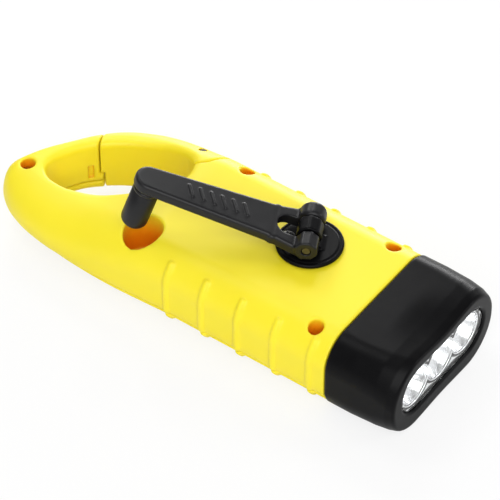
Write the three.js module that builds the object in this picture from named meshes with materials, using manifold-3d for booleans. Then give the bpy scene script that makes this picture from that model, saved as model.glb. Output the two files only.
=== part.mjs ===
// Hand crank flashlight with a carabiner ring at its tail, a folding crank and three lamps.
// X runs to the lamps, Y to the gate side, Z up from the flat underside. The origin lies
// on that underside. Lengths are in millimetres, shares have no unit.
import * as THREE from 'three';
import * as BufferGeometryUtils from 'three/addons/utils/BufferGeometryUtils.js';
import Module from 'manifold-3d';

const wasm = await Module();
wasm.setup();

// Clearances
const SEAM_GAP = 0.3;
const RUNNING_GAP = 0.2;
const SEAT_GAP = 0.3;
const OVERRUN = 1;
const WELD = 0.00001;

// Counts
const ROUND_STEPS = 24;
const SMALL_STEPS = 12;
const CORNER_STEPS = 6;
const DOME_STEPS = 4;
const HUB_STEPS = 44;
const DISC_STEPS = 72;
const WINDOW_STEPS = 24;

// Case
const TAIL_REACH = 92;
const CASE_FRONT = 23.2;
const CASE_HALF_WIDTH = 24;
const CASE_HEIGHT = 24.8;
const CASE_CORNER = 9;
const CORNER_LIMIT_SHARE = 0.49;
const CASE_WALL = 2;
const PARTING_HEIGHT = 5.4;
const CAVITY_REAR = -33;
const CAVITY_CORNER = 7;

// Outline of the case from its ring to its front, as shares of the reach, half width, height
// and corner: reach, far side, near side, top, bottom, far corner, near corner
const stationShares = [
  [1.0, -0.508, -0.525, 0.544, 0.375, 0.3, 0.3],
  [0.997, -0.425, -0.608, 0.629, 0.29, 0.5, 0.5],
  [0.989, -0.342, -0.683, 0.704, 0.216, 0.6, 0.7],
  [0.978, -0.25, -0.746, 0.754, 0.165, 0.7, 0.9],
  [0.959, -0.121, -0.808, 0.788, 0.131, 0.75, 1.1],
  [0.933, 0.063, -0.875, 0.798, 0.121, 0.75, 1.2],
  [0.894, 0.292, -0.938, 0.798, 0.113, 0.75, 1.3],
  [0.855, 0.508, -0.983, 0.798, 0.105, 0.75, 1.35],
  [0.804, 0.721, -1.017, 0.798, 0.089, 0.75, 1.4],
  [0.739, 0.883, -1.038, 0.8, 0.065, 0.75, 1.4],
  [0.674, 0.967, -1.042, 0.823, 0.04, 0.75, 1.4],
  [0.608, 0.996, -1.042, 0.871, 0.02, 0.8, 1.35],
  [0.544, 1, -1.038, 0.927, 0.006, 0.9, 1.25],
  [0.479, 1, -1.029, 0.976, 0, 1, 1.15],
  [0.414, 1, -1.017, 1, 0, 1, 1.05],
  [0.326, 1, -1, 1, 0, 1, 1],
];

// Opening of the ring, as shares of the reach and of the half width
const openingShares = [
  [-0.782, -0.5],
  [-0.761, -0.479],
  [-0.738, -0.458],
  [-0.667, -0.36],
  [-0.559, -0.09],
  [-0.509, 0.1],
  [-0.492, 0.29],
  [-0.495, 0.43],
  [-0.512, 0.56],
  [-0.544, 0.635],
  [-0.584, 0.66],
  [-0.625, 0.648],
  [-0.667, 0.604],
  [-0.743, 0.471],
  [-0.81, 0.267],
  [-0.849, 0.092],
  [-0.881, -0.138],
  [-0.89, -0.27],
  [-0.882, -0.39],
  [-0.854, -0.475],
  [-0.82, -0.5],
];

// Grip ribs
const RIB_COUNT = 5;
const RIB_FIRST = -28.6;
const RIB_PITCH = 11.75;
const RIB_WIDTH = 2.4;
const RIB_CREST = 0.9;
const RIB_RISE = 0.7;
const RIB_INSET = 3.4;
const RIB_INNER_REACH = CASE_HALF_WIDTH - RIB_INSET;
const RIB_BOTTOM = 1.6;

// Hood over the lamps
const HOOD_FRONT = 45.2;
const HOOD_STEP = 0.35;
const HOOD_EDGE = 1.9;
const HOOD_LIP = 1.4;
// Sections of the hood: share of the length, half width, top, corner
const hoodShares = [
  [0, 1, 1, 1],
  [0.02, 1.01, 1.008, 1],
  [0.35, 1.01, 1.012, 1],
  [0.7, 1.004, 1.018, 1.08],
  [0.88, 1, 1.012, 1.2],
  [0.96, 0.988, 0.998, 1.26],
  [1, 0.955, 0.958, 1.2],
];
const NECK_LENGTH = 5;
const NECK_INSET = 2.2;
const NECK_WALL = 1.6;
const HOOD_REAR_DEPTH = 6.2;

// Lens, reflector and lamps
const LAMP_COUNT = 3;
const LAMP_HEIGHT_SHARE = 0.53;
const WINDOW_HEIGHT_SHARE = 0.605;
const WINDOW_SIDE = 4.8;
const LAMP_HEIGHT = CASE_HEIGHT * LAMP_HEIGHT_SHARE;
const WINDOW_HEIGHT = CASE_HEIGHT * WINDOW_HEIGHT_SHARE;
const WINDOW_HALF_LENGTH = CASE_HALF_WIDTH - WINDOW_SIDE;
const LAMP_PITCH = (WINDOW_HALF_LENGTH - WINDOW_HEIGHT / 2) / ((LAMP_COUNT - 1) / 2);
const WINDOW_BEVEL = 0.5;
const REFLECTOR_MARGIN = 1.2;
const LENS_THICKNESS = 0.9;
const REFLECTOR_DEPTH = 9.6;
const CUP_MOUTH_SHARE = 0.526;
const CUP_MOUTH = LAMP_PITCH * CUP_MOUTH_SHARE;
const CUP_THROAT = 2.9;
const CUP_FLOOR_SHARE = 0.16;
const CUP_STEPS = 4;
const CUP_STRAIGHT_SHARE = 0.45;
const LED_RADIUS = 2.5;
const LED_BODY = 4.4;
const LED_FLANGE_RADIUS = 2.8;
const LED_FLANGE = 0.9;
const LED_BOARD_THICKNESS = 1.2;
const LED_BOARD_OVERHANG = 5.4;

// Crank hub, on its axis above the case
const HUB_ALONG = -1.5;
const HUB_OFFSET = 4.5;
const HUB_RADIUS = 9.3;
const HUB_HEIGHT = 1.3;
const HUB_EDGE = 0.6;
const HUB_EDGE_SHARE = 0.3;
const PIN_HEIGHT = 4;
const PIN_RADIUS = 1.1;
const KNUCKLE_WIDTH = 5.2;
const KNUCKLE_RADIUS = 3.5;
const KNUCKLE_FLAT = 2.1;
const KNUCKLE_SIDES = 8;
const EAR_WIDTH = 5.1;
const NEAR_EAR_RADIUS = 3.1;
const FAR_EAR_RADIUS = 3.7;
const EAR_GAP = 0.35;
const PIN_INSET = 0.3;
const HUB_BORE_DEPTH = 3;
const SHAFT_RADIUS = 2;
const HUB_SCREW_REACH = 6.1;
const HUB_SCREW_RADIUS = 2.5;
const HUB_SCREW_DOME = 1.7;
const HUB_SCREW_SLOT = 0.7;
const HUB_SCREW_SHANK = 1.2;
const HUB_SCREW_LENGTH = 0.6;

// Crank arm and knob, drawn folded flat, then raised until the knob clears the case
const ARM_CLEARANCE = 0.5;
const ARM_THICKNESS = 3.3;
const ARM_EDGE = 0.5;
const KNOB_REACH = 44.6;
const ARM_END_RADIUS = 4.2;
const ARM_ROOT_HALF_WIDTH = 6;
const ARM_SHOULDER = 9.5;
const ARM_WINDOW_NEAR = 2.4;
const ARM_WINDOW_FAR = 9.2;
const ARM_WINDOW_HALF = 3.4;
const GRIP_BAR_COUNT = 6;
const GRIP_BAR_FIRST = 18;
const GRIP_BAR_PITCH = 3.1;
const GRIP_BAR_WIDTH = 0.8;
const GRIP_BAR_LENGTH = 4.6;
const GRIP_BAR_RISE = 0.4;
const GRIP_BAR_TILT = THREE.MathUtils.degToRad(24);
const KNOB_RADIUS = 3.75;
const KNOB_LENGTH = 15;
const KNOB_TIP = 2.2;
const KNOB_COLLAR = 0.5;
const KNOB_PIN_RADIUS = 1.4;
const KNOB_PIN_DEPTH = 11;
const KNOB_PIN_SEAT = 2.2;

// Recess for the folded knob, its place from the near side and from the knob
const RECESS_INSET = 7.8;
const RECESS_LEAD = 0.7;
const RECESS_MARGIN = 1.75;
const RECESS_DEPTH_MARGIN = 0.6;
const KNOB_CLEARANCE = 1.2;
// Insert of the tail that holds the recess: reaches from the recess's middle
const SEAT_REACH_REAR = 8;
const SEAT_REACH_FRONT = 7;
const SEAT_REACH_INWARD = 7.5;
const SEAT_FLOOR = 2;

// Case screws: place along X and Y, head seat
const SCREW_FRONT = 16.5;
const SCREW_INSET = 6;
const SCREW_SIDE = CASE_HALF_WIDTH - SCREW_INSET;
const SCREW_REAR = -32.6;
const SCREW_REAR_INSET = 5.2;
const SCREW_REAR_SIDE = CASE_HALF_WIDTH - SCREW_REAR_INSET;
const SCREW_TAIL_REACH_SHARE = -0.937;
const SCREW_TAIL = TAIL_REACH * SCREW_TAIL_REACH_SHARE;
const SCREW_TAIL_SHARE = -0.458;
const SCREW_TAIL_SIDE = CASE_HALF_WIDTH * SCREW_TAIL_SHARE;
const SCREW_HOLE_RADIUS = 2.1;
const SCREW_HEAD_RADIUS = 1.85;
const SCREW_HEAD_HEIGHT = 1.3;
const SCREW_HEAD_SHARE = 0.625;
const SCREW_HEAD_SEAT = CASE_HEIGHT * SCREW_HEAD_SHARE;
const SCREW_SHANK_RADIUS = 0.9;
const SCREW_TIP = 3.2;
const SCREW_TAIL_TIP = 4.8;
const SCREW_SLOT_WIDTH = 0.5;
const SCREW_SLOT_DEPTH = 0.6;
const BOSS_RADIUS = 3.4;

// Gate of the ring and its pivot
const GATE_PIN_REACH_SHARE = -0.526;
const GATE_PIN_X = TAIL_REACH * GATE_PIN_REACH_SHARE;
const GATE_PIN_INSET = 4.4;
const GATE_PIN_Y = CASE_HALF_WIDTH - GATE_PIN_INSET;
const GATE_PIN_RADIUS = 1;
const GATE_PIN_SHARE = 0.871;
const GATE_PIN_TOP = CASE_HEIGHT * GATE_PIN_SHARE;
const GATE_PIN_BOTTOM = 3.4;
const GATE_UNDERSIDE = 2.6;
const GATE_REACH_SHARE = 0.3196;
const GATE_REACH = TAIL_REACH * GATE_REACH_SHARE;
const GATE_GAP = 0.4;
const TONGUE_TOP_SHARE = 0.685;
const TONGUE_BOTTOM_SHARE = 0.411;
const TONGUE_TOP = CASE_HEIGHT * TONGUE_TOP_SHARE;
const TONGUE_BOTTOM = CASE_HEIGHT * TONGUE_BOTTOM_SHARE;
const TONGUE_RADIUS = 2.7;
const TONGUE_GAP = 0.4;
const GATE_SPRING_RADIUS = 1.5;
const GATE_SPRING_WIRE = 0.28;
const GATE_SPRING_TURNS = 3;
const GATE_SPRING_HEIGHT = 2.6;
const GATE_SPRING_STEPS = 12;
const GATE_SPRING_SIDES = 5;
const LATCH_STEP = 1.1;
const LATCH_LEVEL_SHARE = 0.347;
const LATCH_LEVEL = CASE_HEIGHT * LATCH_LEVEL_SHARE;
const LATCH_SLOT_WIDTH = 1.6;
const LATCH_SLOT_HEIGHT = 4.9;
const LATCH_SLOT_DEPTH = 1.2;
const LATCH_SLOT_MIDDLE_SHARE = 0.379;
const LATCH_SLOT_MIDDLE = CASE_HEIGHT * LATCH_SLOT_MIDDLE_SHARE;
const LATCH_SLOT_AZIMUTH = THREE.MathUtils.degToRad(139.5);
const latchSlotShare = [-0.8293, 0.179];
const GATE_SWING = THREE.MathUtils.degToRad(25);
const GATE_HEEL_STEPS = 8;
// Straight seam of the gate, then the rest of its region in plan, as shares of the reach
// and of the half width
const gateSeamShares = [
  [-0.375, 1.35],
  [-0.464, 0.69],
];
const gateRegionShares = [
  [-0.564, 0.36],
  [-0.717, 0.1],
  [-0.82, -0.1],
  [-0.973, 0.1],
  [-0.973, 1.35],
];

// Gear train under the hub
const GEAR_WIDTH = 2.1;
const GEAR_LEVEL_PITCH = 2.5;
const GEAR_DROP = 10.2;
const GEAR_LOWEST = CASE_HEIGHT - CASE_WALL - GEAR_DROP;
const WHEEL_TEETH = 30;
const PINION_TEETH = 10;
const FIRST_MODULE = 0.8;
const SECOND_MODULE = 0.6;
const THIRD_MODULE = 0.5;
const FIRST_AZIMUTH = THREE.MathUtils.degToRad(225);
const SECOND_AZIMUTH = THREE.MathUtils.degToRad(-20);
const THIRD_AZIMUTH = THREE.MathUtils.degToRad(20);
const AXLE_RADIUS = 0.8;
const PRESSURE_ANGLE = THREE.MathUtils.degToRad(25);
const TOOTH_THICKNESS_SHARE = 0.42;
const ADDENDUM_SHARE = 0.8;
const DEDENDUM_SHARE = 1.15;
const GEAR_FRAME_THICKNESS = 1.2;
const GEAR_FRAME_DROP = 0.5;
const POST_RADIUS = 1.7;
const POST_FRONT = 16.8;
const POST_SWITCH_GAP = 4;
const POST_IDLER = 12.2;
const POST_IDLER_SIDE = 4.4;
const POST_ROTOR = 8.6;
const POST_ROTOR_SIDE = 4;
const FRAME_MARGIN = 2.1;
const AXLE_BOSS_RADIUS = 1.7;
const HUB_BEARING_RADIUS = 4.2;
const HUB_BEARING_DROP = 2.2;
const HUB_BEARING_BOTTOM = CASE_HEIGHT - CASE_WALL - HUB_BEARING_DROP;

// Generator
const ROTOR_RADIUS = 6.9;
const ROTOR_DROP = 0.6;
const ROTOR_BOTTOM = 4.4;
const STATOR_RADIUS = 9.4;
const STATOR_WALL = 2.1;
const STATOR_BOTTOM = 4.2;
const ROTOR_BEARING_RADIUS = 2.4;
const ROTOR_BEARING_TOP = 3.9;
const STATOR_SLOT_COUNT = 8;
const STATOR_SLOT_WIDTH = 1.2;
const STATOR_SLOT_DEPTH = 0.8;

// Cells, board, switch and button
const CELL_RADIUS = 5.8;
const CELL_LENGTH = 5.1;
const CELL_COUNT = 3;
const CELL_REAR = -28.9;
const CELL_GEAR_GAP = 2.52;
const CELL_RIM_SHARE = 0.12;
const BOARD_REAR = -27.5;
const BOARD_FRONT = 8;
const BOARD_NEAR = 3.6;
const BOARD_INSET = 5.8;
const BOARD_FAR = CASE_HALF_WIDTH - BOARD_INSET;
const BOARD_BOTTOM = 3;
const BOARD_THICKNESS = 1.2;
const CHIP_LENGTH = 6;
const CHIP_WIDTH = 4;
const CHIP_HEIGHT = 1.4;
const CHIP_PLACE = -10;
const BUTTON_PLACE = 1;
const BUTTON_LENGTH = 7;
const BUTTON_HEIGHT = 5;
const BUTTON_PRESSED_PROUD = 0.4;
const BUTTON_FLANGE = 1;
const BUTTON_FLANGE_DEPTH = 0.8;
const BUTTON_LEVEL_SHARE = 0.544;
const BUTTON_LEVEL = CASE_HEIGHT * BUTTON_LEVEL_SHARE;
const BUTTON_CORNER = 1.4;
const BUTTON_EDGE = 0.4;
const BUTTON_TRAVEL = 1.2;
const SWITCH_LENGTH = 7;
const SWITCH_DEPTH = 3.4;
const SWITCH_PLUNGER_RADIUS = 1;

// Materials
const material = (color, roughness, metalness, extra = {}) =>
  new THREE.MeshStandardMaterial({ color, roughness, metalness, ...extra });
const yellowPlastic = material(0xfbe92a, 0.42, 0);
const gateYellow = material(0xf8e424, 0.42, 0);
const blackPlastic = material(0x232325, 0.5, 0);
const armBlack = material(0x303033, 0.48, 0);
const steel = material(0xb4b6ba, 0.3, 1);
const brightMetal = material(0xe6e8ec, 0.12, 1);
const clearPlastic = material(0xf2f6f8, 0.06, 0, { transparent: true, opacity: 0.35 });
const ledClear = material(0xf4f2e4, 0.15, 0);
const boardGreen = material(0x1f6b3a, 0.55, 0);
const gearWhite = material(0xe9e7df, 0.45, 0);
const frameGrey = material(0x9a9b9d, 0.55, 0);
const copper = material(0xb36b3a, 0.4, 0.8);
const magnetGrey = material(0x55575c, 0.4, 0.8);
const cellGreen = material(0x3f8f5a, 0.45, 0.1);

// Solids from closed geometries, and back

function toSolid(geometry) {
  const bare = geometry.index ? geometry.toNonIndexed() : geometry.clone();
  bare.deleteAttribute('normal');
  bare.deleteAttribute('uv');
  const merged = BufferGeometryUtils.mergeVertices(bare, WELD);
  return new wasm.Manifold(new wasm.Mesh({
    numProp: 3,
    vertProperties: new Float32Array(merged.attributes.position.array),
    triVerts: new Uint32Array(merged.index.array),
  }));
}

function toGeometry(solid) {
  const mesh = solid.getMesh();
  const stride = mesh.numProp;
  const positions = new Float32Array(mesh.numVert * 3);
  for (let i = 0; i < mesh.numVert; i += 1) {
    for (let k = 0; k < 3; k += 1) {
      positions[i * 3 + k] = mesh.vertProperties[i * stride + k];
    }
  }
  const geometry = new THREE.BufferGeometry();
  geometry.setAttribute('position', new THREE.BufferAttribute(positions, 3));
  geometry.setIndex(Array.from(mesh.triVerts));
  geometry.computeVertexNormals();
  return geometry;
}

function unite(solids) {
  return solids.reduce((all, solid) => all.add(solid));
}

function cut(solid, cutters) {
  return cutters.reduce((left, cutter) => left.subtract(cutter), solid);
}

const model = new THREE.Group();

function place(name, solid, look, parent = model) {
  const mesh = new THREE.Mesh(toGeometry(solid), look);
  mesh.name = name;
  parent.add(mesh);
  return mesh;
}

// Basic shapes, each closed

function box(x0, x1, y0, y1, z0, z1) {
  const geometry = new THREE.BoxGeometry(x1 - x0, y1 - y0, z1 - z0);
  geometry.translate((x0 + x1) / 2, (y0 + y1) / 2, (z0 + z1) / 2);
  return toSolid(geometry);
}

function upright(x, y, radius, z0, z1, steps = ROUND_STEPS) {
  const geometry = new THREE.CylinderGeometry(radius, radius, z1 - z0, steps);
  geometry.rotateX(Math.PI / 2);
  geometry.translate(x, y, (z0 + z1) / 2);
  return toSolid(geometry);
}

function uprightRing(x, y, outer, inner, z0, z1, steps = ROUND_STEPS) {
  const bore = upright(x, y, inner, z0 - OVERRUN, z1 + OVERRUN, steps);
  return upright(x, y, outer, z0, z1, steps).subtract(bore);
}

// Turned shape about the upright line at x, y: points are radius and height
function turned(x, y, points, steps = ROUND_STEPS) {
  const profile = points.map(([radius, height]) => new THREE.Vector2(radius, height));
  const geometry = new THREE.LatheGeometry(profile, steps);
  geometry.rotateX(Math.PI / 2);
  geometry.translate(x, y, 0);
  return toSolid(geometry);
}

// Turned shape about a line along X at y, z: points are radius and x
function turnedAlongX(y, z, points, steps = ROUND_STEPS) {
  const profile = points.map(([radius, along]) => new THREE.Vector2(radius, along));
  const geometry = new THREE.LatheGeometry(profile, steps);
  geometry.rotateZ(-Math.PI / 2);
  geometry.translate(0, y, z);
  return toSolid(geometry);
}

function shapeOf(points) {
  return new THREE.Shape(points.map(([x, y]) => new THREE.Vector2(x, y)));
}

// Plan outline raised from z0 to z1
function raised(points, z0, z1) {
  const options = { depth: z1 - z0, bevelEnabled: false, curveSegments: SMALL_STEPS };
  const geometry = new THREE.ExtrudeGeometry(shapeOf(points), options);
  geometry.translate(0, 0, z0);
  return toSolid(geometry);
}

// Outline in Y and Z carried along X from x0 to x1
function alongX(points, x0, x1) {
  const options = { depth: x1 - x0, bevelEnabled: false };
  const geometry = new THREE.ExtrudeGeometry(shapeOf(points), options);
  const basis = new THREE.Matrix4().makeBasis(
    new THREE.Vector3(0, 1, 0),
    new THREE.Vector3(0, 0, 1),
    new THREE.Vector3(1, 0, 0),
  );
  geometry.applyMatrix4(basis);
  geometry.translate(x0, 0, 0);
  return toSolid(geometry);
}

// Outline in X and Z carried along Y from y0 to y1
function alongY(points, y0, y1) {
  const options = { depth: y1 - y0, bevelEnabled: false };
  const geometry = new THREE.ExtrudeGeometry(shapeOf(points), options);
  geometry.rotateX(Math.PI / 2);
  geometry.translate(0, y1, 0);
  return toSolid(geometry);
}

function arcPoints(cx, cy, radius, from, to, steps) {
  const points = [];
  for (let i = 0; i <= steps; i += 1) {
    const angle = from + ((to - from) * i) / steps;
    points.push([cx + radius * Math.cos(angle), cy + radius * Math.sin(angle)]);
  }
  return points;
}

// Slot with round ends, centred on the origin of its plane at cx, cy
function stadium(cx, cy, halfLength, radius, steps = SMALL_STEPS) {
  const reach = halfLength - radius;
  return [
    ...arcPoints(cx + reach, cy, radius, -Math.PI / 2, Math.PI / 2, steps / 2),
    ...arcPoints(cx - reach, cy, radius, Math.PI / 2, (3 * Math.PI) / 2, steps / 2),
  ];
}

function roundedRectangle(cx, cy, halfX, halfY, corner, steps = CORNER_STEPS / 2) {
  const points = [];
  const quarters = [
    [1, 1, 0],
    [-1, 1, Math.PI / 2],
    [-1, -1, Math.PI],
    [1, -1, (3 * Math.PI) / 2],
  ];
  for (const [sx, sy, from] of quarters) {
    const x = cx + sx * (halfX - corner);
    const y = cy + sy * (halfY - corner);
    points.push(...arcPoints(x, y, corner, from, from + Math.PI / 2, steps));
  }
  return points;
}

// Cross-section of the case across X, with its own corner at each side of the top
function section({ x, far, near, top, bottom, farCorner, nearCorner, lowCorner }) {
  const limitY = (far - near) * CORNER_LIMIT_SHARE;
  const limitZ = (top - bottom) * CORNER_LIMIT_SHARE;
  const corners = [
    [far, top, -1, -1, farCorner, 0],
    [near, top, 1, -1, nearCorner, Math.PI / 2],
    [near, bottom, 1, 1, lowCorner, Math.PI],
    [far, bottom, -1, 1, lowCorner, (3 * Math.PI) / 2],
  ];
  const points = [];
  for (const [y, z, sy, sz, corner, from] of corners) {
    const ry = Math.min(corner, limitY);
    const rz = Math.min(corner, CASE_CORNER, limitZ);
    for (let i = 0; i <= CORNER_STEPS; i += 1) {
      const angle = from + (Math.PI / 2) * (i / CORNER_STEPS);
      const py = y + sy * ry + ry * Math.cos(angle);
      const pz = z + sz * rz + rz * Math.sin(angle);
      points.push(new THREE.Vector3(x, py, pz));
    }
  }
  return points;
}

// Closed skin over a row of sections with equal point counts
function loft(sections) {
  const rings = sections.map(section);
  const positions = [];
  const push = (...points) => points.forEach((p) => positions.push(p.x, p.y, p.z));
  const count = rings[0].length;
  for (let s = 0; s < rings.length - 1; s += 1) {
    for (let i = 0; i < count; i += 1) {
      const j = (i + 1) % count;
      push(rings[s][i], rings[s][j], rings[s + 1][j]);
      push(rings[s][i], rings[s + 1][j], rings[s + 1][i]);
    }
  }
  const first = rings[0];
  const last = rings[rings.length - 1];
  for (let i = 1; i < count - 1; i += 1) {
    push(first[0], first[i + 1], first[i]);
    push(last[0], last[i], last[i + 1]);
  }
  const geometry = new THREE.BufferGeometry();
  const array = new Float32Array(positions);
  geometry.setAttribute('position', new THREE.BufferAttribute(array, 3));
  return toSolid(geometry);
}

function evenSection(x, halfWidth, top, bottom, corner) {
  return {
    x,
    far: halfWidth,
    near: -halfWidth,
    top,
    bottom,
    farCorner: corner,
    nearCorner: corner,
    lowCorner: corner,
  };
}

// Case: outer skin, ribs, opening and cavity, before it is parted

function caseSkin() {
  const tail = stationShares.map(([reach, far, near, top, bottom, farCorner, nearCorner]) => ({
    x: -reach * TAIL_REACH,
    far: far * CASE_HALF_WIDTH,
    near: near * CASE_HALF_WIDTH,
    top: top * CASE_HEIGHT,
    bottom: bottom * CASE_HEIGHT,
    farCorner: farCorner * CASE_CORNER,
    nearCorner: nearCorner * CASE_CORNER,
    lowCorner: CASE_CORNER * Math.min(1, nearCorner),
  }));
  return loft([
    ...tail,
    evenSection(CASE_FRONT, CASE_HALF_WIDTH, CASE_HEIGHT, 0, CASE_CORNER),
  ]);
}

function grippingRib(x) {
  const grown = (at, rise) => evenSection(
    at,
    CASE_HALF_WIDTH + rise,
    CASE_HEIGHT + rise,
    -rise,
    CASE_CORNER + rise,
  );
  const band = loft([
    grown(x - RIB_WIDTH / 2, 0),
    grown(x - RIB_CREST / 2, RIB_RISE),
    grown(x + RIB_CREST / 2, RIB_RISE),
    grown(x + RIB_WIDTH / 2, 0),
  ]);
  const low = RIB_BOTTOM;
  const high = CASE_HEIGHT + OVERRUN;
  const out = CASE_HALF_WIDTH + OVERRUN * 2;
  const far = box(x - RIB_WIDTH, x + RIB_WIDTH, RIB_INNER_REACH, out, low, high);
  const near = box(x - RIB_WIDTH, x + RIB_WIDTH, -out, -RIB_INNER_REACH, low, high);
  return band.intersect(far.add(near));
}

const openingOutline = openingShares.map(
  ([x, y]) => [x * TAIL_REACH, y * CASE_HALF_WIDTH],
);
const ringOpening = raised(openingOutline, -OVERRUN, CASE_HEIGHT + OVERRUN);
const outerSkin = caseSkin();
const ribs = Array.from({ length: RIB_COUNT }, (_, i) => grippingRib(RIB_FIRST + i * RIB_PITCH));

const neckFront = CASE_FRONT + NECK_LENGTH;
const neckHalfWidth = CASE_HALF_WIDTH - NECK_INSET;
const neck = loft([
  evenSection(
    CASE_FRONT - CASE_WALL * 2,
    neckHalfWidth,
    CASE_HEIGHT - NECK_INSET,
    NECK_INSET,
    CASE_CORNER - NECK_INSET,
  ),
  evenSection(
    neckFront,
    neckHalfWidth,
    CASE_HEIGHT - NECK_INSET,
    NECK_INSET,
    CASE_CORNER - NECK_INSET,
  ),
]);
const neckInset = NECK_INSET + NECK_WALL;
const cavity = loft([
  evenSection(
    CAVITY_REAR,
    CASE_HALF_WIDTH - CASE_WALL,
    CASE_HEIGHT - CASE_WALL,
    CASE_WALL,
    CAVITY_CORNER,
  ),
  evenSection(
    CASE_FRONT - CASE_WALL * 2,
    CASE_HALF_WIDTH - CASE_WALL,
    CASE_HEIGHT - CASE_WALL,
    CASE_WALL,
    CAVITY_CORNER,
  ),
]).add(loft([
  evenSection(
    CASE_FRONT - CASE_WALL * 2 - OVERRUN,
    CASE_HALF_WIDTH - neckInset,
    CASE_HEIGHT - neckInset,
    neckInset,
    CASE_CORNER - neckInset,
  ),
  evenSection(
    neckFront + OVERRUN,
    CASE_HALF_WIDTH - neckInset,
    CASE_HEIGHT - neckInset,
    neckInset,
    CASE_CORNER - neckInset,
  ),
]));

// Case screws and the bosses they run in
const screwPlaces = [
  ['case_screw_front_far', SCREW_FRONT, SCREW_SIDE, SCREW_TIP],
  ['case_screw_front_near', SCREW_FRONT, -SCREW_SIDE, SCREW_TIP],
  ['case_screw_rear', SCREW_REAR, SCREW_REAR_SIDE, SCREW_TIP],
  ['case_screw_tail', SCREW_TAIL, SCREW_TAIL_SIDE, SCREW_TAIL_TIP],
];

function screwBoss([, x, y]) {
  return upright(x, y, BOSS_RADIUS, 0, CASE_HEIGHT).intersect(outerSkin);
}

function screwBores([, x, y, tip]) {
  const head = upright(x, y, SCREW_HOLE_RADIUS, SCREW_HEAD_SEAT - SEAT_GAP, CASE_HEIGHT + OVERRUN);
  const shank = upright(
    x,
    y,
    SCREW_SHANK_RADIUS + SEAT_GAP,
    tip - SEAT_GAP,
    SCREW_HEAD_SEAT,
    SMALL_STEPS,
  );
  return head.add(shank);
}

function caseScrew([name, x, y, tip]) {
  const top = SCREW_HEAD_SEAT + SCREW_HEAD_HEIGHT;
  const solid = turned(x, y, [
    [0, tip],
    [SCREW_SHANK_RADIUS, tip + SCREW_SHANK_RADIUS],
    [SCREW_SHANK_RADIUS, SCREW_HEAD_SEAT],
    [SCREW_HEAD_RADIUS, SCREW_HEAD_SEAT],
    [SCREW_HEAD_RADIUS, top - SCREW_HEAD_HEIGHT / 3],
    [SCREW_HEAD_RADIUS / 2, top],
    [0, top],
  ], SMALL_STEPS);
  const reach = SCREW_HEAD_RADIUS;
  const half = SCREW_SLOT_WIDTH / 2;
  const low = top - SCREW_SLOT_DEPTH;
  const high = top + OVERRUN;
  const cross = box(x - reach, x + reach, y - half, y + half, low, high)
    .add(box(x - half, x + half, y - reach, y + reach, low, high));
  place(name, solid.subtract(cross), steel);
}

// Crank places
const hubX = HUB_ALONG;
const hubY = HUB_OFFSET;
const hubBottom = CASE_HEIGHT + SEAT_GAP;
const hubTop = hubBottom + HUB_HEIGHT;
const pinHeight = hubTop + PIN_HEIGHT;
const recessReach = KNOB_REACH + RECESS_LEAD;
const recessRadius = KNOB_RADIUS + RECESS_MARGIN;
const recessY = RECESS_INSET - CASE_HALF_WIDTH;
const crankAzimuth = Math.PI + Math.asin((hubY - recessY) / recessReach);
const recessX = hubX + recessReach * Math.cos(crankAzimuth);
const knobDrop = PIN_HEIGHT - ARM_CLEARANCE + KNOB_LENGTH;
const recessFloor = pinHeight - knobDrop - RECESS_DEPTH_MARGIN;
const tipReach = KNOB_REACH - (KNOB_RADIUS - KNOB_TIP);
const tipDistance = Math.hypot(tipReach, knobDrop);
const tipHeight = CASE_HEIGHT + KNOB_CLEARANCE - pinHeight;
const crankLift = Math.atan2(knobDrop, tipReach) + Math.asin(tipHeight / tipDistance);

// Gear centres
const firstDistance = (FIRST_MODULE * (WHEEL_TEETH + PINION_TEETH)) / 2;
const secondDistance = (SECOND_MODULE * (WHEEL_TEETH + PINION_TEETH)) / 2;
const thirdDistance = (THIRD_MODULE * (WHEEL_TEETH + PINION_TEETH)) / 2;
const idlerOne = [
  hubX + firstDistance * Math.cos(FIRST_AZIMUTH),
  hubY + firstDistance * Math.sin(FIRST_AZIMUTH),
];
const idlerTwo = [
  idlerOne[0] + secondDistance * Math.cos(SECOND_AZIMUTH),
  idlerOne[1] + secondDistance * Math.sin(SECOND_AZIMUTH),
];
const rotorPlace = [
  idlerTwo[0] + thirdDistance * Math.cos(THIRD_AZIMUTH),
  idlerTwo[1] + thirdDistance * Math.sin(THIRD_AZIMUTH),
];
const wheelTip = SECOND_MODULE * (WHEEL_TEETH / 2 + ADDENDUM_SHARE);
const cellSide = idlerOne[1] + wheelTip + CELL_GEAR_GAP + CELL_RADIUS;
const lowLevel = GEAR_LOWEST;
const gearFrameTop = lowLevel - GEAR_FRAME_DROP;
const gearFrameBottom = gearFrameTop - GEAR_FRAME_THICKNESS;
const middleLevel = lowLevel + GEAR_LEVEL_PITCH;
const highLevel = middleLevel + GEAR_LEVEL_PITCH;
const ceiling = CASE_HEIGHT - CASE_WALL;

// Gate: region in plan, and the slot in which the case's tongue sits
const onPlan = ([x, y]) => new THREE.Vector2(x * TAIL_REACH, y * CASE_HALF_WIDTH);
const gateCentre = new THREE.Vector2(GATE_PIN_X, GATE_PIN_Y);
const [seamOuter, seamInner] = gateSeamShares.map(onPlan);
const seamAlong = seamOuter.clone().sub(seamInner).normalize();
const seamNormal = new THREE.Vector2(seamAlong.y, -seamAlong.x);
const heelRadius = seamInner.clone().sub(gateCentre).dot(seamNormal);
const gateDisc = (radius, bottom) => upright(
  GATE_PIN_X,
  GATE_PIN_Y,
  radius,
  bottom,
  CASE_HEIGHT + OVERRUN,
  DISC_STEPS,
);
const gateSweep = (gap) => gateDisc(GATE_REACH + gap, LATCH_LEVEL - gap)
  .add(gateDisc(GATE_REACH - LATCH_STEP + gap, -OVERRUN));

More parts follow.
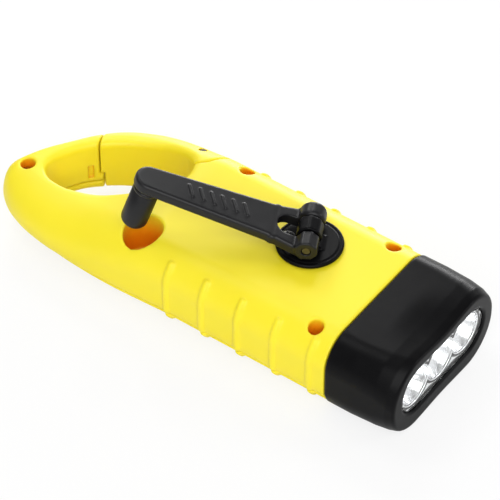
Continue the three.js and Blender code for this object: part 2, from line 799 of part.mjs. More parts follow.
// The seam runs straight to its point nearest the pin and then round the pin
function gateRegion(gap) {
  const start = seamNormal.angle() - Math.PI * 2;
  const end = -Math.PI / 2;
  const heel = Array.from({ length: GATE_HEEL_STEPS + 1 }, (_, i) => {
    const angle = start + ((end - start) * i) / GATE_HEEL_STEPS;
    const radius = heelRadius + gap;
    return [GATE_PIN_X + radius * Math.cos(angle), GATE_PIN_Y + radius * Math.sin(angle)];
  });
  const outer = seamOuter.clone().addScaledVector(seamNormal, gap);
  const rest = gateRegionShares.map((share) => onPlan(share).toArray());
  return raised([outer.toArray(), ...heel, ...rest], -OVERRUN, CASE_HEIGHT + OVERRUN);
}

const ringOnly = outerSkin.subtract(ringOpening);
const gateSpace = gateRegion(GATE_GAP).intersect(gateSweep(GATE_GAP));
const latchSlot = box(
  -LATCH_SLOT_DEPTH,
  LATCH_SLOT_DEPTH,
  -LATCH_SLOT_WIDTH / 2,
  LATCH_SLOT_WIDTH / 2,
  LATCH_SLOT_MIDDLE - LATCH_SLOT_HEIGHT / 2,
  LATCH_SLOT_MIDDLE + LATCH_SLOT_HEIGHT / 2,
)
  .rotate([0, 0, THREE.MathUtils.radToDeg(LATCH_SLOT_AZIMUTH)])
  .translate([...onPlan(latchSlotShare).toArray(), 0]);
const tongueNeck = box(
  GATE_PIN_X,
  CAVITY_REAR - OVERRUN,
  GATE_PIN_Y - TONGUE_RADIUS,
  GATE_PIN_Y + TONGUE_RADIUS,
  TONGUE_BOTTOM,
  TONGUE_TOP,
);
const tongueEnd = upright(GATE_PIN_X, GATE_PIN_Y, TONGUE_RADIUS, TONGUE_BOTTOM, TONGUE_TOP);
const springPocketRadius = GATE_SPRING_RADIUS + GATE_SPRING_WIRE + SEAT_GAP;
const springBottom = TONGUE_TOP - GATE_SPRING_HEIGHT;
const springPocket = upright(
  GATE_PIN_X,
  GATE_PIN_Y,
  springPocketRadius,
  springBottom,
  TONGUE_TOP + OVERRUN,
  SMALL_STEPS,
);
const gatePinBore = upright(
  GATE_PIN_X,
  GATE_PIN_Y,
  GATE_PIN_RADIUS + RUNNING_GAP,
  -OVERRUN,
  CASE_HEIGHT + OVERRUN,
  SMALL_STEPS,
);
const tongue = cut(tongueNeck.add(tongueEnd).intersect(ringOnly), [springPocket, gatePinBore]);

// Button and its hole in the far wall
const farInner = CASE_HALF_WIDTH - CASE_WALL;
const buttonShape = (grow) => roundedRectangle(
  BUTTON_PLACE,
  BUTTON_LEVEL,
  BUTTON_LENGTH / 2 + grow,
  BUTTON_HEIGHT / 2 + grow,
  BUTTON_CORNER,
);
const buttonHole = alongY(
  buttonShape(RUNNING_GAP),
  farInner - OVERRUN,
  CASE_HALF_WIDTH + OVERRUN * 2,
);

const hubBore = upright(
  hubX,
  hubY,
  SHAFT_RADIUS + RUNNING_GAP,
  HUB_BEARING_BOTTOM - OVERRUN,
  CASE_HEIGHT + OVERRUN,
);
const recess = upright(
  recessX,
  recessY,
  recessRadius,
  recessFloor,
  CASE_HEIGHT + OVERRUN,
);

function axleBoss([x, y], bottom) {
  const boss = upright(x, y, AXLE_BOSS_RADIUS, bottom, ceiling + CASE_WALL / 2, SMALL_STEPS);
  const bore = upright(x, y, AXLE_RADIUS + RUNNING_GAP, bottom - OVERRUN, ceiling, SMALL_STEPS);
  return boss.subtract(bore);
}

const wholeCase = cut(unite([outerSkin, neck, ...ribs]), [cavity]);
const bossedCase = cut(unite([wholeCase, ...screwPlaces.map(screwBoss)]), [
  ringOpening,
  gateSpace,
  latchSlot,
  recess,
  buttonHole,
  ...screwPlaces.map(screwBores),
]);
const partingLow = PARTING_HEIGHT - SEAM_GAP / 2;
const partingHigh = PARTING_HEIGHT + SEAM_GAP / 2;
const sideReach = CASE_HALF_WIDTH * 2;
const aboveParting = box(
  -TAIL_REACH - OVERRUN,
  HOOD_FRONT,
  -sideReach,
  sideReach,
  partingHigh,
  CASE_HEIGHT + OVERRUN,
);
const belowParting = box(
  -TAIL_REACH - OVERRUN,
  HOOD_FRONT,
  -sideReach,
  sideReach,
  -OVERRUN,
  partingLow,
);

const hubBearing = upright(hubX, hubY, HUB_BEARING_RADIUS, HUB_BEARING_BOTTOM, ceiling + OVERRUN);
const insertSpace = (gap) => box(
  recessX - SEAT_REACH_REAR - gap,
  recessX + SEAT_REACH_FRONT + gap,
  -sideReach,
  recessY + SEAT_REACH_INWARD + gap,
  recessFloor - SEAT_FLOOR - gap,
  CASE_HEIGHT + OVERRUN,
);
place('knob_seat', bossedCase.intersect(insertSpace(0)), yellowPlastic);
const upperShell = cut(unite([
  bossedCase.intersect(aboveParting),
  tongue,
  hubBearing,
]), [hubBore, insertSpace(SEAM_GAP), ...screwPlaces.map(screwBores)]);
place('upper_shell', unite([
  upperShell,
  axleBoss(idlerOne, highLevel + GEAR_WIDTH + SEAT_GAP),
  axleBoss(idlerTwo, middleLevel + GEAR_WIDTH + SEAT_GAP),
]), yellowPlastic);

const rotorBearing = uprightRing(
  ...rotorPlace,
  ROTOR_BEARING_RADIUS,
  AXLE_RADIUS + RUNNING_GAP,
  CASE_WALL,
  ROTOR_BEARING_TOP,
  SMALL_STEPS,
);
place(
  'lower_shell',
  bossedCase.intersect(belowParting).add(rotorBearing),
  yellowPlastic,
);
screwPlaces.forEach(caseScrew);

// Gate, its pin and spring
const tongueSlotHalf = TONGUE_RADIUS + TONGUE_GAP;
const slotBottom = TONGUE_BOTTOM - TONGUE_GAP;
const slotTop = TONGUE_TOP + TONGUE_GAP;
const neckSpace = (turn) => box(
  0,
  -GATE_PIN_X + CAVITY_REAR,
  -tongueSlotHalf,
  tongueSlotHalf,
  slotBottom,
  slotTop,
)
  .rotate([0, 0, -THREE.MathUtils.radToDeg(turn)])
  .translate([GATE_PIN_X, GATE_PIN_Y, 0]);
const tongueSpace = wasm.Manifold.hull([
  neckSpace(0),
  neckSpace(GATE_SWING),
  upright(GATE_PIN_X, GATE_PIN_Y, tongueSlotHalf, slotBottom, slotTop),
]);
const gateSolid = ringOnly
  .intersect(gateRegion(0))
  .intersect(gateSweep(0));
const underGate = box(
  -TAIL_REACH,
  CAVITY_REAR,
  -CASE_HALF_WIDTH,
  CASE_HALF_WIDTH + OVERRUN,
  -OVERRUN,
  GATE_UNDERSIDE,
);
place(
  'gate',
  cut(gateSolid, [tongueSpace, gatePinBore, underGate]),
  gateYellow,
);

place('gate_pin', upright(
  GATE_PIN_X,
  GATE_PIN_Y,
  GATE_PIN_RADIUS,
  GATE_PIN_BOTTOM,
  GATE_PIN_TOP,
  SMALL_STEPS,
), steel);

function coil(cx, cy, radius, wire, turns, z0, height) {
  const steps = turns * GATE_SPRING_STEPS;
  const rings = [];
  const rise = height - wire * 2;
  for (let i = 0; i <= steps; i += 1) {
    const angle = (i / GATE_SPRING_STEPS) * Math.PI * 2;
    const ring = [];
    for (let k = 0; k < GATE_SPRING_SIDES; k += 1) {
      const side = (k / GATE_SPRING_SIDES) * Math.PI * 2;
      const reach = radius + wire * Math.cos(side);
      const z = z0 + wire + (rise * i) / steps + wire * Math.sin(side);
      ring.push(new THREE.Vector3(
        cx + reach * Math.cos(angle),
        cy + reach * Math.sin(angle),
        z,
      ));
    }
    rings.push(ring);
  }
  return skin(rings);
}

// Closed skin over rings of points, run from the first ring to the last
function skin(rings) {
  const positions = [];
  const push = (...points) => points.forEach((p) => positions.push(p.x, p.y, p.z));
  const count = rings[0].length;
  for (let s = 0; s < rings.length - 1; s += 1) {
    for (let i = 0; i < count; i += 1) {
      const j = (i + 1) % count;
      push(rings[s][i], rings[s + 1][j], rings[s][j]);
      push(rings[s][i], rings[s + 1][i], rings[s + 1][j]);
    }
  }
  const first = rings[0];
  const last = rings[rings.length - 1];
  for (let i = 1; i < count - 1; i += 1) {
    push(first[0], first[i], first[i + 1]);
    push(last[0], last[i + 1], last[i]);
  }
  const geometry = new THREE.BufferGeometry();
  const array = new Float32Array(positions);
  geometry.setAttribute('position', new THREE.BufferAttribute(array, 3));
  return toSolid(geometry);
}

place('gate_spring', coil(
  GATE_PIN_X,
  GATE_PIN_Y,
  GATE_SPRING_RADIUS,
  GATE_SPRING_WIRE,
  GATE_SPRING_TURNS,
  springBottom + SEAT_GAP,
  GATE_SPRING_HEIGHT - SEAT_GAP,
), steel);

// Hood, lens, reflector, lamps and their board
const lampSpan = (LAMP_COUNT - 1) * LAMP_PITCH;
const windowHalf = WINDOW_HALF_LENGTH;
const reflectorHalf = windowHalf + REFLECTOR_MARGIN;
const reflectorRadius = WINDOW_HEIGHT / 2 + REFLECTOR_MARGIN;
const lipBack = HOOD_FRONT - HOOD_LIP;
const reflectorFront = lipBack - SEAT_GAP;
const lensBack = reflectorFront + SEAT_GAP;
const reflectorBack = reflectorFront - REFLECTOR_DEPTH;
const ledBase = reflectorBack - SEAT_GAP - LED_FLANGE;
const boardFront = ledBase - SEAT_GAP;
const lampPlaces = Array.from(
  { length: LAMP_COUNT },
  (_, i) => i * LAMP_PITCH - lampSpan / 2,
);

function hoodSkin() {
  const rear = CASE_FRONT + HOOD_STEP;
  const length = HOOD_FRONT - rear;
  return loft(hoodShares.map(([along, width, top, corner], i) => {
    const closing = i === hoodShares.length - 1 ? HOOD_EDGE : 0;
    return evenSection(
      rear + along * length,
      CASE_HALF_WIDTH * width,
      CASE_HEIGHT * top,
      closing,
      CASE_CORNER * corner,
    );
  }));
}

const hoodInside = alongX(
  stadium(
    0,
    LAMP_HEIGHT,
    reflectorHalf + RUNNING_GAP,
    reflectorRadius + RUNNING_GAP,
    WINDOW_STEPS,
  ),
  CASE_FRONT - OVERRUN,
  lipBack,
);
const windowRing = (x, grow) => stadium(
  0,
  LAMP_HEIGHT,
  windowHalf + grow,
  WINDOW_HEIGHT / 2 + grow,
  WINDOW_STEPS,
).map(([y, z]) => new THREE.Vector3(x, y, z));
const hoodWindow = skin([
  windowRing(HOOD_FRONT + OVERRUN, WINDOW_BEVEL + OVERRUN),
  windowRing(HOOD_FRONT - WINDOW_BEVEL, 0),
  windowRing(lipBack - OVERRUN, 0),
]);
const hoodSocket = loft([CASE_FRONT - OVERRUN, CASE_FRONT + HOOD_REAR_DEPTH].map((x) => evenSection(
  x,
  neckHalfWidth + SEAT_GAP,
  CASE_HEIGHT - NECK_INSET + SEAT_GAP,
  NECK_INSET - SEAT_GAP,
  CASE_CORNER - NECK_INSET,
)));
place('hood', cut(hoodSkin(), [hoodInside, hoodWindow, hoodSocket]), blackPlastic);

place('front_lens', alongX(
  stadium(
    0,
    LAMP_HEIGHT,
    windowHalf - RUNNING_GAP,
    WINDOW_HEIGHT / 2 - RUNNING_GAP,
    WINDOW_STEPS,
  ),
  lensBack,
  lensBack + LENS_THICKNESS,
), clearPlastic);

function reflectorCup(y) {
  const floor = reflectorBack + REFLECTOR_DEPTH * CUP_FLOOR_SHARE;
  const points = [[0, reflectorBack - OVERRUN], [LED_RADIUS + RUNNING_GAP, reflectorBack - OVERRUN]];
  points.push([LED_RADIUS + RUNNING_GAP, floor]);
  for (let i = 0; i <= CUP_STEPS; i += 1) {
    const share = i / CUP_STEPS;
    const radius = CUP_THROAT + (CUP_MOUTH - CUP_THROAT) * share;
    const depth = share * share * (1 - CUP_STRAIGHT_SHARE) + share * CUP_STRAIGHT_SHARE;
    points.push([radius, floor + (reflectorFront - floor) * depth]);
  }
  points.push([CUP_MOUTH, reflectorFront + OVERRUN], [0, reflectorFront + OVERRUN]);
  return turnedAlongX(y, LAMP_HEIGHT, points);
}

place('reflector', cut(
  alongX(
    stadium(0, LAMP_HEIGHT, reflectorHalf, reflectorRadius, WINDOW_STEPS),
    reflectorBack,
    reflectorFront,
  ),
  lampPlaces.map(reflectorCup),
), brightMetal);

lampPlaces.forEach((y, i) => {
  const shoulder = ledBase + LED_FLANGE;
  const dome = shoulder + LED_BODY;
  const points = [[0, ledBase], [LED_FLANGE_RADIUS, ledBase], [LED_FLANGE_RADIUS, shoulder]];
  points.push([LED_RADIUS, shoulder]);
  for (let k = 0; k <= DOME_STEPS; k += 1) {
    const angle = (k / DOME_STEPS) * (Math.PI / 2);
    points.push([LED_RADIUS * Math.cos(angle), dome + LED_RADIUS * Math.sin(angle)]);
  }
  place(`led_${i + 1}`, turnedAlongX(y, LAMP_HEIGHT, points, SMALL_STEPS), ledClear);
});

place('led_board', alongX(
  stadium(
    0,
    LAMP_HEIGHT,
    lampSpan / 2 + LED_BOARD_OVERHANG,
    LED_BOARD_OVERHANG,
  ),
  boardFront - LED_BOARD_THICKNESS,
  boardFront,
), boardGreen);

// Crank hub: disc, hinge knuckle and the screw that clamps it to its shaft
const crank = new THREE.Group();
crank.position.set(hubX, hubY, 0);
crank.rotation.z = crankAzimuth;
model.add(crank);

// Barrel across the arm, centred on the pin: flat sided, round when it has many sides
function barrel(radius, y0, y1, sides, z = pinHeight) {
  const geometry = new THREE.CylinderGeometry(radius, radius, y1 - y0, sides);
  geometry.rotateY(Math.PI / sides);
  geometry.translate(0, (y0 + y1) / 2, z);
  return toSolid(geometry);
}

const pinBore = barrel(
  PIN_RADIUS + RUNNING_GAP,
  -HUB_RADIUS - OVERRUN,
  HUB_RADIUS + OVERRUN,
  SMALL_STEPS,
);
const knuckleHalf = KNUCKLE_WIDTH / 2;
const hubDisc = turned(0, 0, [
  [0, hubBottom],
  [HUB_RADIUS, hubBottom],
  [HUB_RADIUS, hubTop - HUB_EDGE],
  [HUB_RADIUS - HUB_EDGE * HUB_EDGE_SHARE, hubTop - HUB_EDGE * HUB_EDGE_SHARE],
  [HUB_RADIUS - HUB_EDGE, hubTop],
  [0, hubTop],
], HUB_STEPS);
const knuckle = barrel(KNUCKLE_RADIUS, -knuckleHalf, knuckleHalf, KNUCKLE_SIDES).add(box(
  -KNUCKLE_FLAT,
  KNUCKLE_RADIUS,
  -knuckleHalf,
  knuckleHalf,
  hubTop - HUB_EDGE,
  pinHeight,
));
const shaftTop = hubBottom + HUB_BORE_DEPTH - SEAT_GAP;
const hubSocket = upright(
  0,
  0,
  SHAFT_RADIUS + RUNNING_GAP,
  hubBottom - OVERRUN,
  hubBottom + HUB_BORE_DEPTH,
);
const hubScrewBore = upright(
  HUB_SCREW_REACH,
  0,
  HUB_SCREW_SHANK + RUNNING_GAP,
  hubTop - HUB_SCREW_LENGTH - SEAT_GAP,
  hubTop + OVERRUN,
  SMALL_STEPS,
);
place('crank_hub', cut(hubDisc.add(knuckle), [pinBore, hubSocket, hubScrewBore]), blackPlastic, crank);

const screwSeat = hubTop + SEAT_GAP / 3;
const hubScrewPoints = [
  [0, hubTop - HUB_SCREW_LENGTH],
  [HUB_SCREW_SHANK, hubTop - HUB_SCREW_LENGTH],
  [HUB_SCREW_SHANK, screwSeat],
];
for (let i = 0; i <= DOME_STEPS; i += 1) {
  const angle = (i / DOME_STEPS) * (Math.PI / 2);
  hubScrewPoints.push([
    HUB_SCREW_RADIUS * Math.cos(angle),
    screwSeat + HUB_SCREW_DOME * Math.sin(angle),
  ]);
}
const hubScrewSlot = box(
  HUB_SCREW_REACH - HUB_SCREW_SLOT / 2,
  HUB_SCREW_REACH + HUB_SCREW_SLOT / 2,
  -HUB_SCREW_RADIUS,
  HUB_SCREW_RADIUS,
  screwSeat + HUB_SCREW_DOME - HUB_SCREW_SLOT,
  screwSeat + HUB_SCREW_DOME + OVERRUN,
);
place(
  'hub_screw',
  turned(HUB_SCREW_REACH, 0, hubScrewPoints).subtract(hubScrewSlot),
  steel,
  crank,
);

const earOuter = knuckleHalf + EAR_GAP + EAR_WIDTH;
place(
  'hinge_pin',
  barrel(PIN_RADIUS, -earOuter + PIN_INSET, earOuter - PIN_INSET, SMALL_STEPS),
  steel,
  crank,
);

// Arm, knob and knob pin, drawn flat with the pin at the origin, then lifted about it
const lifted = new THREE.Group();
lifted.position.z = pinHeight;
lifted.rotation.y = -crankLift;
crank.add(lifted);

const armBottom = ARM_CLEARANCE - PIN_HEIGHT;
const armTop = armBottom + ARM_THICKNESS;

function armOutline(inset) {
  const end = ARM_END_RADIUS - inset;
  const root = ARM_ROOT_HALF_WIDTH - inset;
  const slope = Math.atan2(ARM_ROOT_HALF_WIDTH - ARM_END_RADIUS, KNOB_REACH - ARM_SHOULDER);
  return [
    [ARM_SHOULDER, -root],
    ...arcPoints(KNOB_REACH, 0, end, -Math.PI / 2 + slope, Math.PI / 2 - slope, SMALL_STEPS),
    [ARM_SHOULDER, root],
    [inset, earOuter - inset],
    [inset, -earOuter + inset],
  ];
}

// Plate with a chamfer around its top and bottom edges
function armPlate() {
  const ring = (inset, z) => armOutline(inset).map(([x, y]) => new THREE.Vector3(x, y, z));
  return skin([
    ring(ARM_EDGE, armTop),
    ring(0, armTop - ARM_EDGE),
    ring(0, armBottom + ARM_EDGE),
    ring(ARM_EDGE, armBottom),
  ]);
}

function gripBar(i) {
  const geometry = new THREE.BoxGeometry(GRIP_BAR_WIDTH, GRIP_BAR_LENGTH, GRIP_BAR_RISE * 2);
  geometry.rotateZ(GRIP_BAR_TILT);
  geometry.translate(GRIP_BAR_FIRST + i * GRIP_BAR_PITCH, 0, armTop);
  return toSolid(geometry);
}

const earInner = knuckleHalf + EAR_GAP;
const ears = barrel(NEAR_EAR_RADIUS, earInner, earOuter, ROUND_STEPS, 0)
  .add(barrel(FAR_EAR_RADIUS, -earOuter, -earInner, ROUND_STEPS, 0));
const knuckleSpace = box(
  -KNUCKLE_RADIUS * 2,
  ARM_WINDOW_FAR,
  -earInner,
  earInner,
  -PIN_HEIGHT,
  KNUCKLE_RADIUS * 2,
);
const screwWindow = box(
  ARM_WINDOW_NEAR,
  ARM_WINDOW_FAR,
  -ARM_WINDOW_HALF,
  ARM_WINDOW_HALF,
  armBottom - OVERRUN,
  KNUCKLE_RADIUS * 2,
);
const armPinBore = barrel(
  PIN_RADIUS + RUNNING_GAP,
  -earOuter - OVERRUN,
  earOuter + OVERRUN,
  SMALL_STEPS,
  0,
);
const knobPinHole = upright(
  KNOB_REACH,
  0,
  KNOB_PIN_RADIUS + RUNNING_GAP,
  armBottom - OVERRUN,
  armBottom + KNOB_PIN_SEAT + SEAT_GAP,
  SMALL_STEPS,
);
const gripBars = Array.from({ length: GRIP_BAR_COUNT }, (_, i) => gripBar(i));
place('crank_arm', cut(unite([armPlate(), ears, ...gripBars]), [
  knuckleSpace,
  screwWindow,
  armPinBore,
  knobPinHole,
]), armBlack, lifted);

place('knob_pin', upright(
  KNOB_REACH,
  0,
  KNOB_PIN_RADIUS,
  armBottom - KNOB_PIN_DEPTH,
  armBottom + KNOB_PIN_SEAT,
  SMALL_STEPS,
), steel, lifted);

const knobTop = armBottom - SEAT_GAP;
const knobBottom = armBottom - KNOB_LENGTH;
const knobPoints = [[0, knobBottom], [KNOB_RADIUS - KNOB_TIP, knobBottom]];
for (let i = 1; i <= DOME_STEPS; i += 1) {
  const angle = -Math.PI / 2 + (i / DOME_STEPS) * (Math.PI / 2);
  knobPoints.push([
    KNOB_RADIUS - KNOB_TIP + KNOB_TIP * Math.cos(angle),
    knobBottom + KNOB_TIP + KNOB_TIP * Math.sin(angle),
  ]);
}
knobPoints.push(
  [KNOB_RADIUS, knobTop - KNOB_COLLAR],
  [KNOB_RADIUS - KNOB_COLLAR, knobTop],
  [0, knobTop],
);
const knobBore = upright(
  KNOB_REACH,
  0,
  KNOB_PIN_RADIUS + RUNNING_GAP,
  armBottom - KNOB_PIN_DEPTH - SEAT_GAP,
  armBottom,
  SMALL_STEPS,
);
place('knob', turned(KNOB_REACH, 0, knobPoints).subtract(knobBore), armBlack, lifted);

// Gears: stub involute teeth with a tooth centred on the phase angle

function gear([cx, cy], teeth, module, phase, z, bore) {
  const pitch = (teeth * module) / 2;
  const base = pitch * Math.cos(PRESSURE_ANGLE);
  const tip = pitch + ADDENDUM_SHARE * module;
  const root = pitch - DEDENDUM_SHARE * module;
  const involute = (angle) => Math.tan(angle) - angle;
  const halfAt = (radius) => {
    const angle = Math.acos(Math.min(1, base / radius));
    const atPitch = (TOOTH_THICKNESS_SHARE * Math.PI) / teeth;
    return atPitch + involute(PRESSURE_ANGLE) - involute(angle);
  };
  const flank = [[root, halfAt(base)], [tip, halfAt(tip)]];
  const points = [];
  for (let i = 0; i < teeth; i += 1) {
    const middle = phase + (i / teeth) * Math.PI * 2;
    flank.forEach(([radius, half]) => points.push([radius, middle - half]));
    [...flank].reverse().forEach(([radius, half]) => points.push([radius, middle + half]));
  }
  const outline = points.map(([radius, angle]) => [
    cx + radius * Math.cos(angle),
    cy + radius * Math.sin(angle),
  ]);
  const hole = upright(cx, cy, bore, z - OVERRUN, z + GEAR_WIDTH + OVERRUN, SMALL_STEPS);
  return raised(outline, z, z + GEAR_WIDTH).subtract(hole);
}

const meshed = (teeth, azimuth) => azimuth + Math.PI + Math.PI / teeth;
const shaftBore = SHAFT_RADIUS + RUNNING_GAP;
const axleBore = AXLE_RADIUS + RUNNING_GAP;

place('drive_shaft', upright(
  hubX,
  hubY,
  SHAFT_RADIUS,
  gearFrameBottom,
  shaftTop,
), steel);
place('drive_gear', gear(
  [hubX, hubY],
  WHEEL_TEETH,
  FIRST_MODULE,
  FIRST_AZIMUTH,
  highLevel,
  shaftBore,
), gearWhite);

// Two gears on one sleeve, a pinion above and a wheel below it
function idler(name, centre, pinionModule, pinionAzimuth, wheelModule, wheelAzimuth, level) {
  const sleeve = uprightRing(
    ...centre,
    AXLE_RADIUS * 2,
    axleBore,
    level,
    level + GEAR_LEVEL_PITCH,
    SMALL_STEPS,
  );
  const wheel = gear(centre, WHEEL_TEETH, wheelModule, wheelAzimuth, level, axleBore);
  const phase = meshed(PINION_TEETH, pinionAzimuth);
  const pinionLevel = level + GEAR_LEVEL_PITCH;
  const pinion = gear(centre, PINION_TEETH, pinionModule, phase, pinionLevel, axleBore);
  place(name, unite([wheel, sleeve, pinion]), gearWhite);
  place(`${name}_axle`, upright(
    ...centre,
    AXLE_RADIUS,
    gearFrameBottom,
    ceiling - SEAT_GAP,
    SMALL_STEPS,
  ), steel);
}

idler('idler_gear_1', idlerOne, FIRST_MODULE, FIRST_AZIMUTH, SECOND_MODULE, SECOND_AZIMUTH, middleLevel);
idler('idler_gear_2', idlerTwo, SECOND_MODULE, SECOND_AZIMUTH, THIRD_MODULE, THIRD_AZIMUTH, lowLevel);
place('rotor_pinion', gear(
  rotorPlace,
  PINION_TEETH,
  THIRD_MODULE,
  meshed(PINION_TEETH, THIRD_AZIMUTH),
  lowLevel,
  axleBore,
), gearWhite);

// Generator: rotor on its shaft inside the stator
place('rotor_shaft', upright(
  ...rotorPlace,
  AXLE_RADIUS,
  CASE_WALL + SEAT_GAP,
  lowLevel + GEAR_WIDTH,
  SMALL_STEPS,
), steel);
const statorTop = gearFrameBottom - SEAT_GAP;
const statorHeight = statorTop - STATOR_BOTTOM;
place('rotor_magnet', uprightRing(
  ...rotorPlace,
  ROTOR_RADIUS,
  axleBore,
  ROTOR_BOTTOM,
  statorTop - ROTOR_DROP,
), magnetGrey);
const statorSlots = Array.from({ length: STATOR_SLOT_COUNT }, (_, i) => {
  const angle = (i / STATOR_SLOT_COUNT) * Math.PI * 2;
  const reach = STATOR_RADIUS - STATOR_SLOT_DEPTH;
  const geometry = new THREE.BoxGeometry(
    STATOR_SLOT_DEPTH * 4,
    STATOR_SLOT_WIDTH,
    statorHeight + OVERRUN * 2,
  );
  geometry.translate(reach + STATOR_SLOT_DEPTH * 2, 0, statorTop - statorHeight / 2);
  geometry.rotateZ(angle);
  geometry.translate(rotorPlace[0], rotorPlace[1], 0);
  return toSolid(geometry);
});
place('stator', cut(uprightRing(
  ...rotorPlace,
  STATOR_RADIUS,
  STATOR_RADIUS - STATOR_WALL,
  STATOR_BOTTOM,
  statorTop,
  ROUND_STEPS + SMALL_STEPS,
), statorSlots), copper);

// Gear frame: a plate under the gears on posts from the case's ceiling
const cellFront = CELL_REAR + CELL_COUNT * CELL_LENGTH;
const postPlaces = [
  [hubX + POST_FRONT, BOARD_FAR - SEAT_GAP - SWITCH_DEPTH - POST_SWITCH_GAP],
  [idlerOne[0] - POST_IDLER, idlerOne[1] - POST_IDLER_SIDE],
  [rotorPlace[0] + POST_ROTOR, rotorPlace[1] - POST_ROTOR_SIDE],
];
const frameRear = postPlaces[1][0] - FRAME_MARGIN;
const frameNear = idlerTwo[1] - FRAME_MARGIN * 2;
const frameFront = postPlaces[2][0] + FRAME_MARGIN;
const bossRear = SCREW_FRONT - BOSS_RADIUS - FRAME_MARGIN / 2;
const frameStep = postPlaces[2][1] - FRAME_MARGIN;
const frameFar = postPlaces[0][1] + FRAME_MARGIN;
const frameOutline = [
  [frameRear, frameNear],
  [bossRear, frameNear],
  [bossRear, frameStep],
  [frameFront, frameStep],
  [frameFront, frameFar],
  [cellFront + FRAME_MARGIN / 3, frameFar],
  [cellFront + FRAME_MARGIN / 3, cellSide - CELL_RADIUS - FRAME_MARGIN / 2],
  [frameRear, cellSide - CELL_RADIUS - FRAME_MARGIN / 2],
];
const posts = postPlaces.map(([x, y]) => upright(
  x,
  y,
  POST_RADIUS,
  gearFrameBottom,
  ceiling - SEAT_GAP,
  SMALL_STEPS,
));
const spacer = upright(
  ...idlerOne,
  AXLE_RADIUS * 2,
  gearFrameBottom,
  middleLevel - SEAT_GAP,
  SMALL_STEPS,
);
const frameBores = [idlerOne, idlerTwo, rotorPlace].map(([x, y]) => upright(
  x,
  y,
  axleBore,
  gearFrameBottom - OVERRUN,
  middleLevel,
  SMALL_STEPS,
));
const shaftFoot = upright(hubX, hubY, shaftBore, gearFrameBottom - OVERRUN, middleLevel);
place('gear_frame', cut(unite([
  raised(frameOutline, gearFrameBottom, gearFrameTop),
  spacer,
  ...posts,
]), [...frameBores, shaftFoot]), frameGrey);

// Board on the case's floor with its controller, switch and cells
const boardTop = BOARD_BOTTOM + BOARD_THICKNESS;
place('main_board', box(
  BOARD_REAR,
  BOARD_FRONT,
  BOARD_NEAR,
  BOARD_FAR,
  BOARD_BOTTOM,
  boardTop,
), boardGreen);
place('controller_chip', box(
  CHIP_PLACE,
  CHIP_PLACE + CHIP_LENGTH,
  cellSide - CHIP_WIDTH / 2,
  cellSide + CHIP_WIDTH / 2,
  boardTop + SEAT_GAP,
  boardTop + SEAT_GAP + CHIP_HEIGHT,
), blackPlastic);

const cellHeight = boardTop + SEAT_GAP + CELL_RADIUS;
for (let i = 0; i < CELL_COUNT; i += 1) {
  const rear = CELL_REAR + i * CELL_LENGTH;
  const rim = CELL_RADIUS * CELL_RIM_SHARE;
  const front = rear + CELL_LENGTH - SEAT_GAP;
  place(`cell_${i + 1}`, turnedAlongX(cellSide, cellHeight, [
    [0, rear],
    [CELL_RADIUS - rim, rear],
    [CELL_RADIUS, rear + rim],
    [CELL_RADIUS, front - rim],
    [CELL_RADIUS - rim, front],
    [0, front],
  ]), cellGreen);
}

const flangeFar = farInner - SEAT_GAP;
const switchFar = BOARD_FAR - SEAT_GAP;
const plungerLength = flangeFar - BUTTON_FLANGE_DEPTH - BUTTON_TRAVEL - SEAT_GAP - switchFar;
const plunger = new THREE.CylinderGeometry(
  SWITCH_PLUNGER_RADIUS,
  SWITCH_PLUNGER_RADIUS,
  plungerLength + SWITCH_DEPTH / 2,
  SMALL_STEPS,
);
plunger.translate(BUTTON_PLACE, switchFar + (plungerLength - SWITCH_DEPTH / 2) / 2, BUTTON_LEVEL);
place('switch_body', box(
  BUTTON_PLACE - SWITCH_LENGTH / 2,
  BUTTON_PLACE + SWITCH_LENGTH / 2,
  switchFar - SWITCH_DEPTH,
  switchFar,
  boardTop + SEAT_GAP,
  BUTTON_LEVEL + BUTTON_HEIGHT / 2,
).add(toSolid(plunger)), blackPlastic);

// Power button through the far wall, kept in by its flange
const flange = alongY(
  buttonShape(BUTTON_FLANGE),
  flangeFar - BUTTON_FLANGE_DEPTH,
  flangeFar,
);
const buttonFace = CASE_HALF_WIDTH + BUTTON_TRAVEL + BUTTON_PRESSED_PROUD;
const buttonStem = alongY(
  buttonShape(0),
  flangeFar - BUTTON_FLANGE_DEPTH,
  buttonFace - BUTTON_EDGE,
);
const buttonCrown = alongY(
  buttonShape(-BUTTON_EDGE),
  flangeFar,
  buttonFace,
);
place('power_button', unite([flange, buttonStem, buttonCrown]), blackPlastic);

export default model;
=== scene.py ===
"""Dressed model of the hand crank flashlight: smooth mouldings, finishes, light and camera."""

import math

import bpy
import numpy as np
from mathutils import Matrix, Vector


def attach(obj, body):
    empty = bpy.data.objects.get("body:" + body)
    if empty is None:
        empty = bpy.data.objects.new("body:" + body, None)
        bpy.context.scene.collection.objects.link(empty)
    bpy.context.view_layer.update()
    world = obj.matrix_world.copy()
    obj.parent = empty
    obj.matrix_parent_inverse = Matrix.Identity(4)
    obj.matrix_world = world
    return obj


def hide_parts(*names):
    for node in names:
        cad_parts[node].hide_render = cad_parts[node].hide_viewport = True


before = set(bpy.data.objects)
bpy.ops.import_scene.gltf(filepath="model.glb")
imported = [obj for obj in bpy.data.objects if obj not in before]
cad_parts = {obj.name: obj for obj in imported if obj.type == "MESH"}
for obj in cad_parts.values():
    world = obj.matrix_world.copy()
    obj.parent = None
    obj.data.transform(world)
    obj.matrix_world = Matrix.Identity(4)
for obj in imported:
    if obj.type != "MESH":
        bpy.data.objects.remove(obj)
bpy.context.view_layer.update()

# Lengths below are in millimetres, as in the part's source
MM = 0.001
SEAM_GAP = 0.3
RUNNING_GAP = 0.2
SEAT_GAP = 0.3

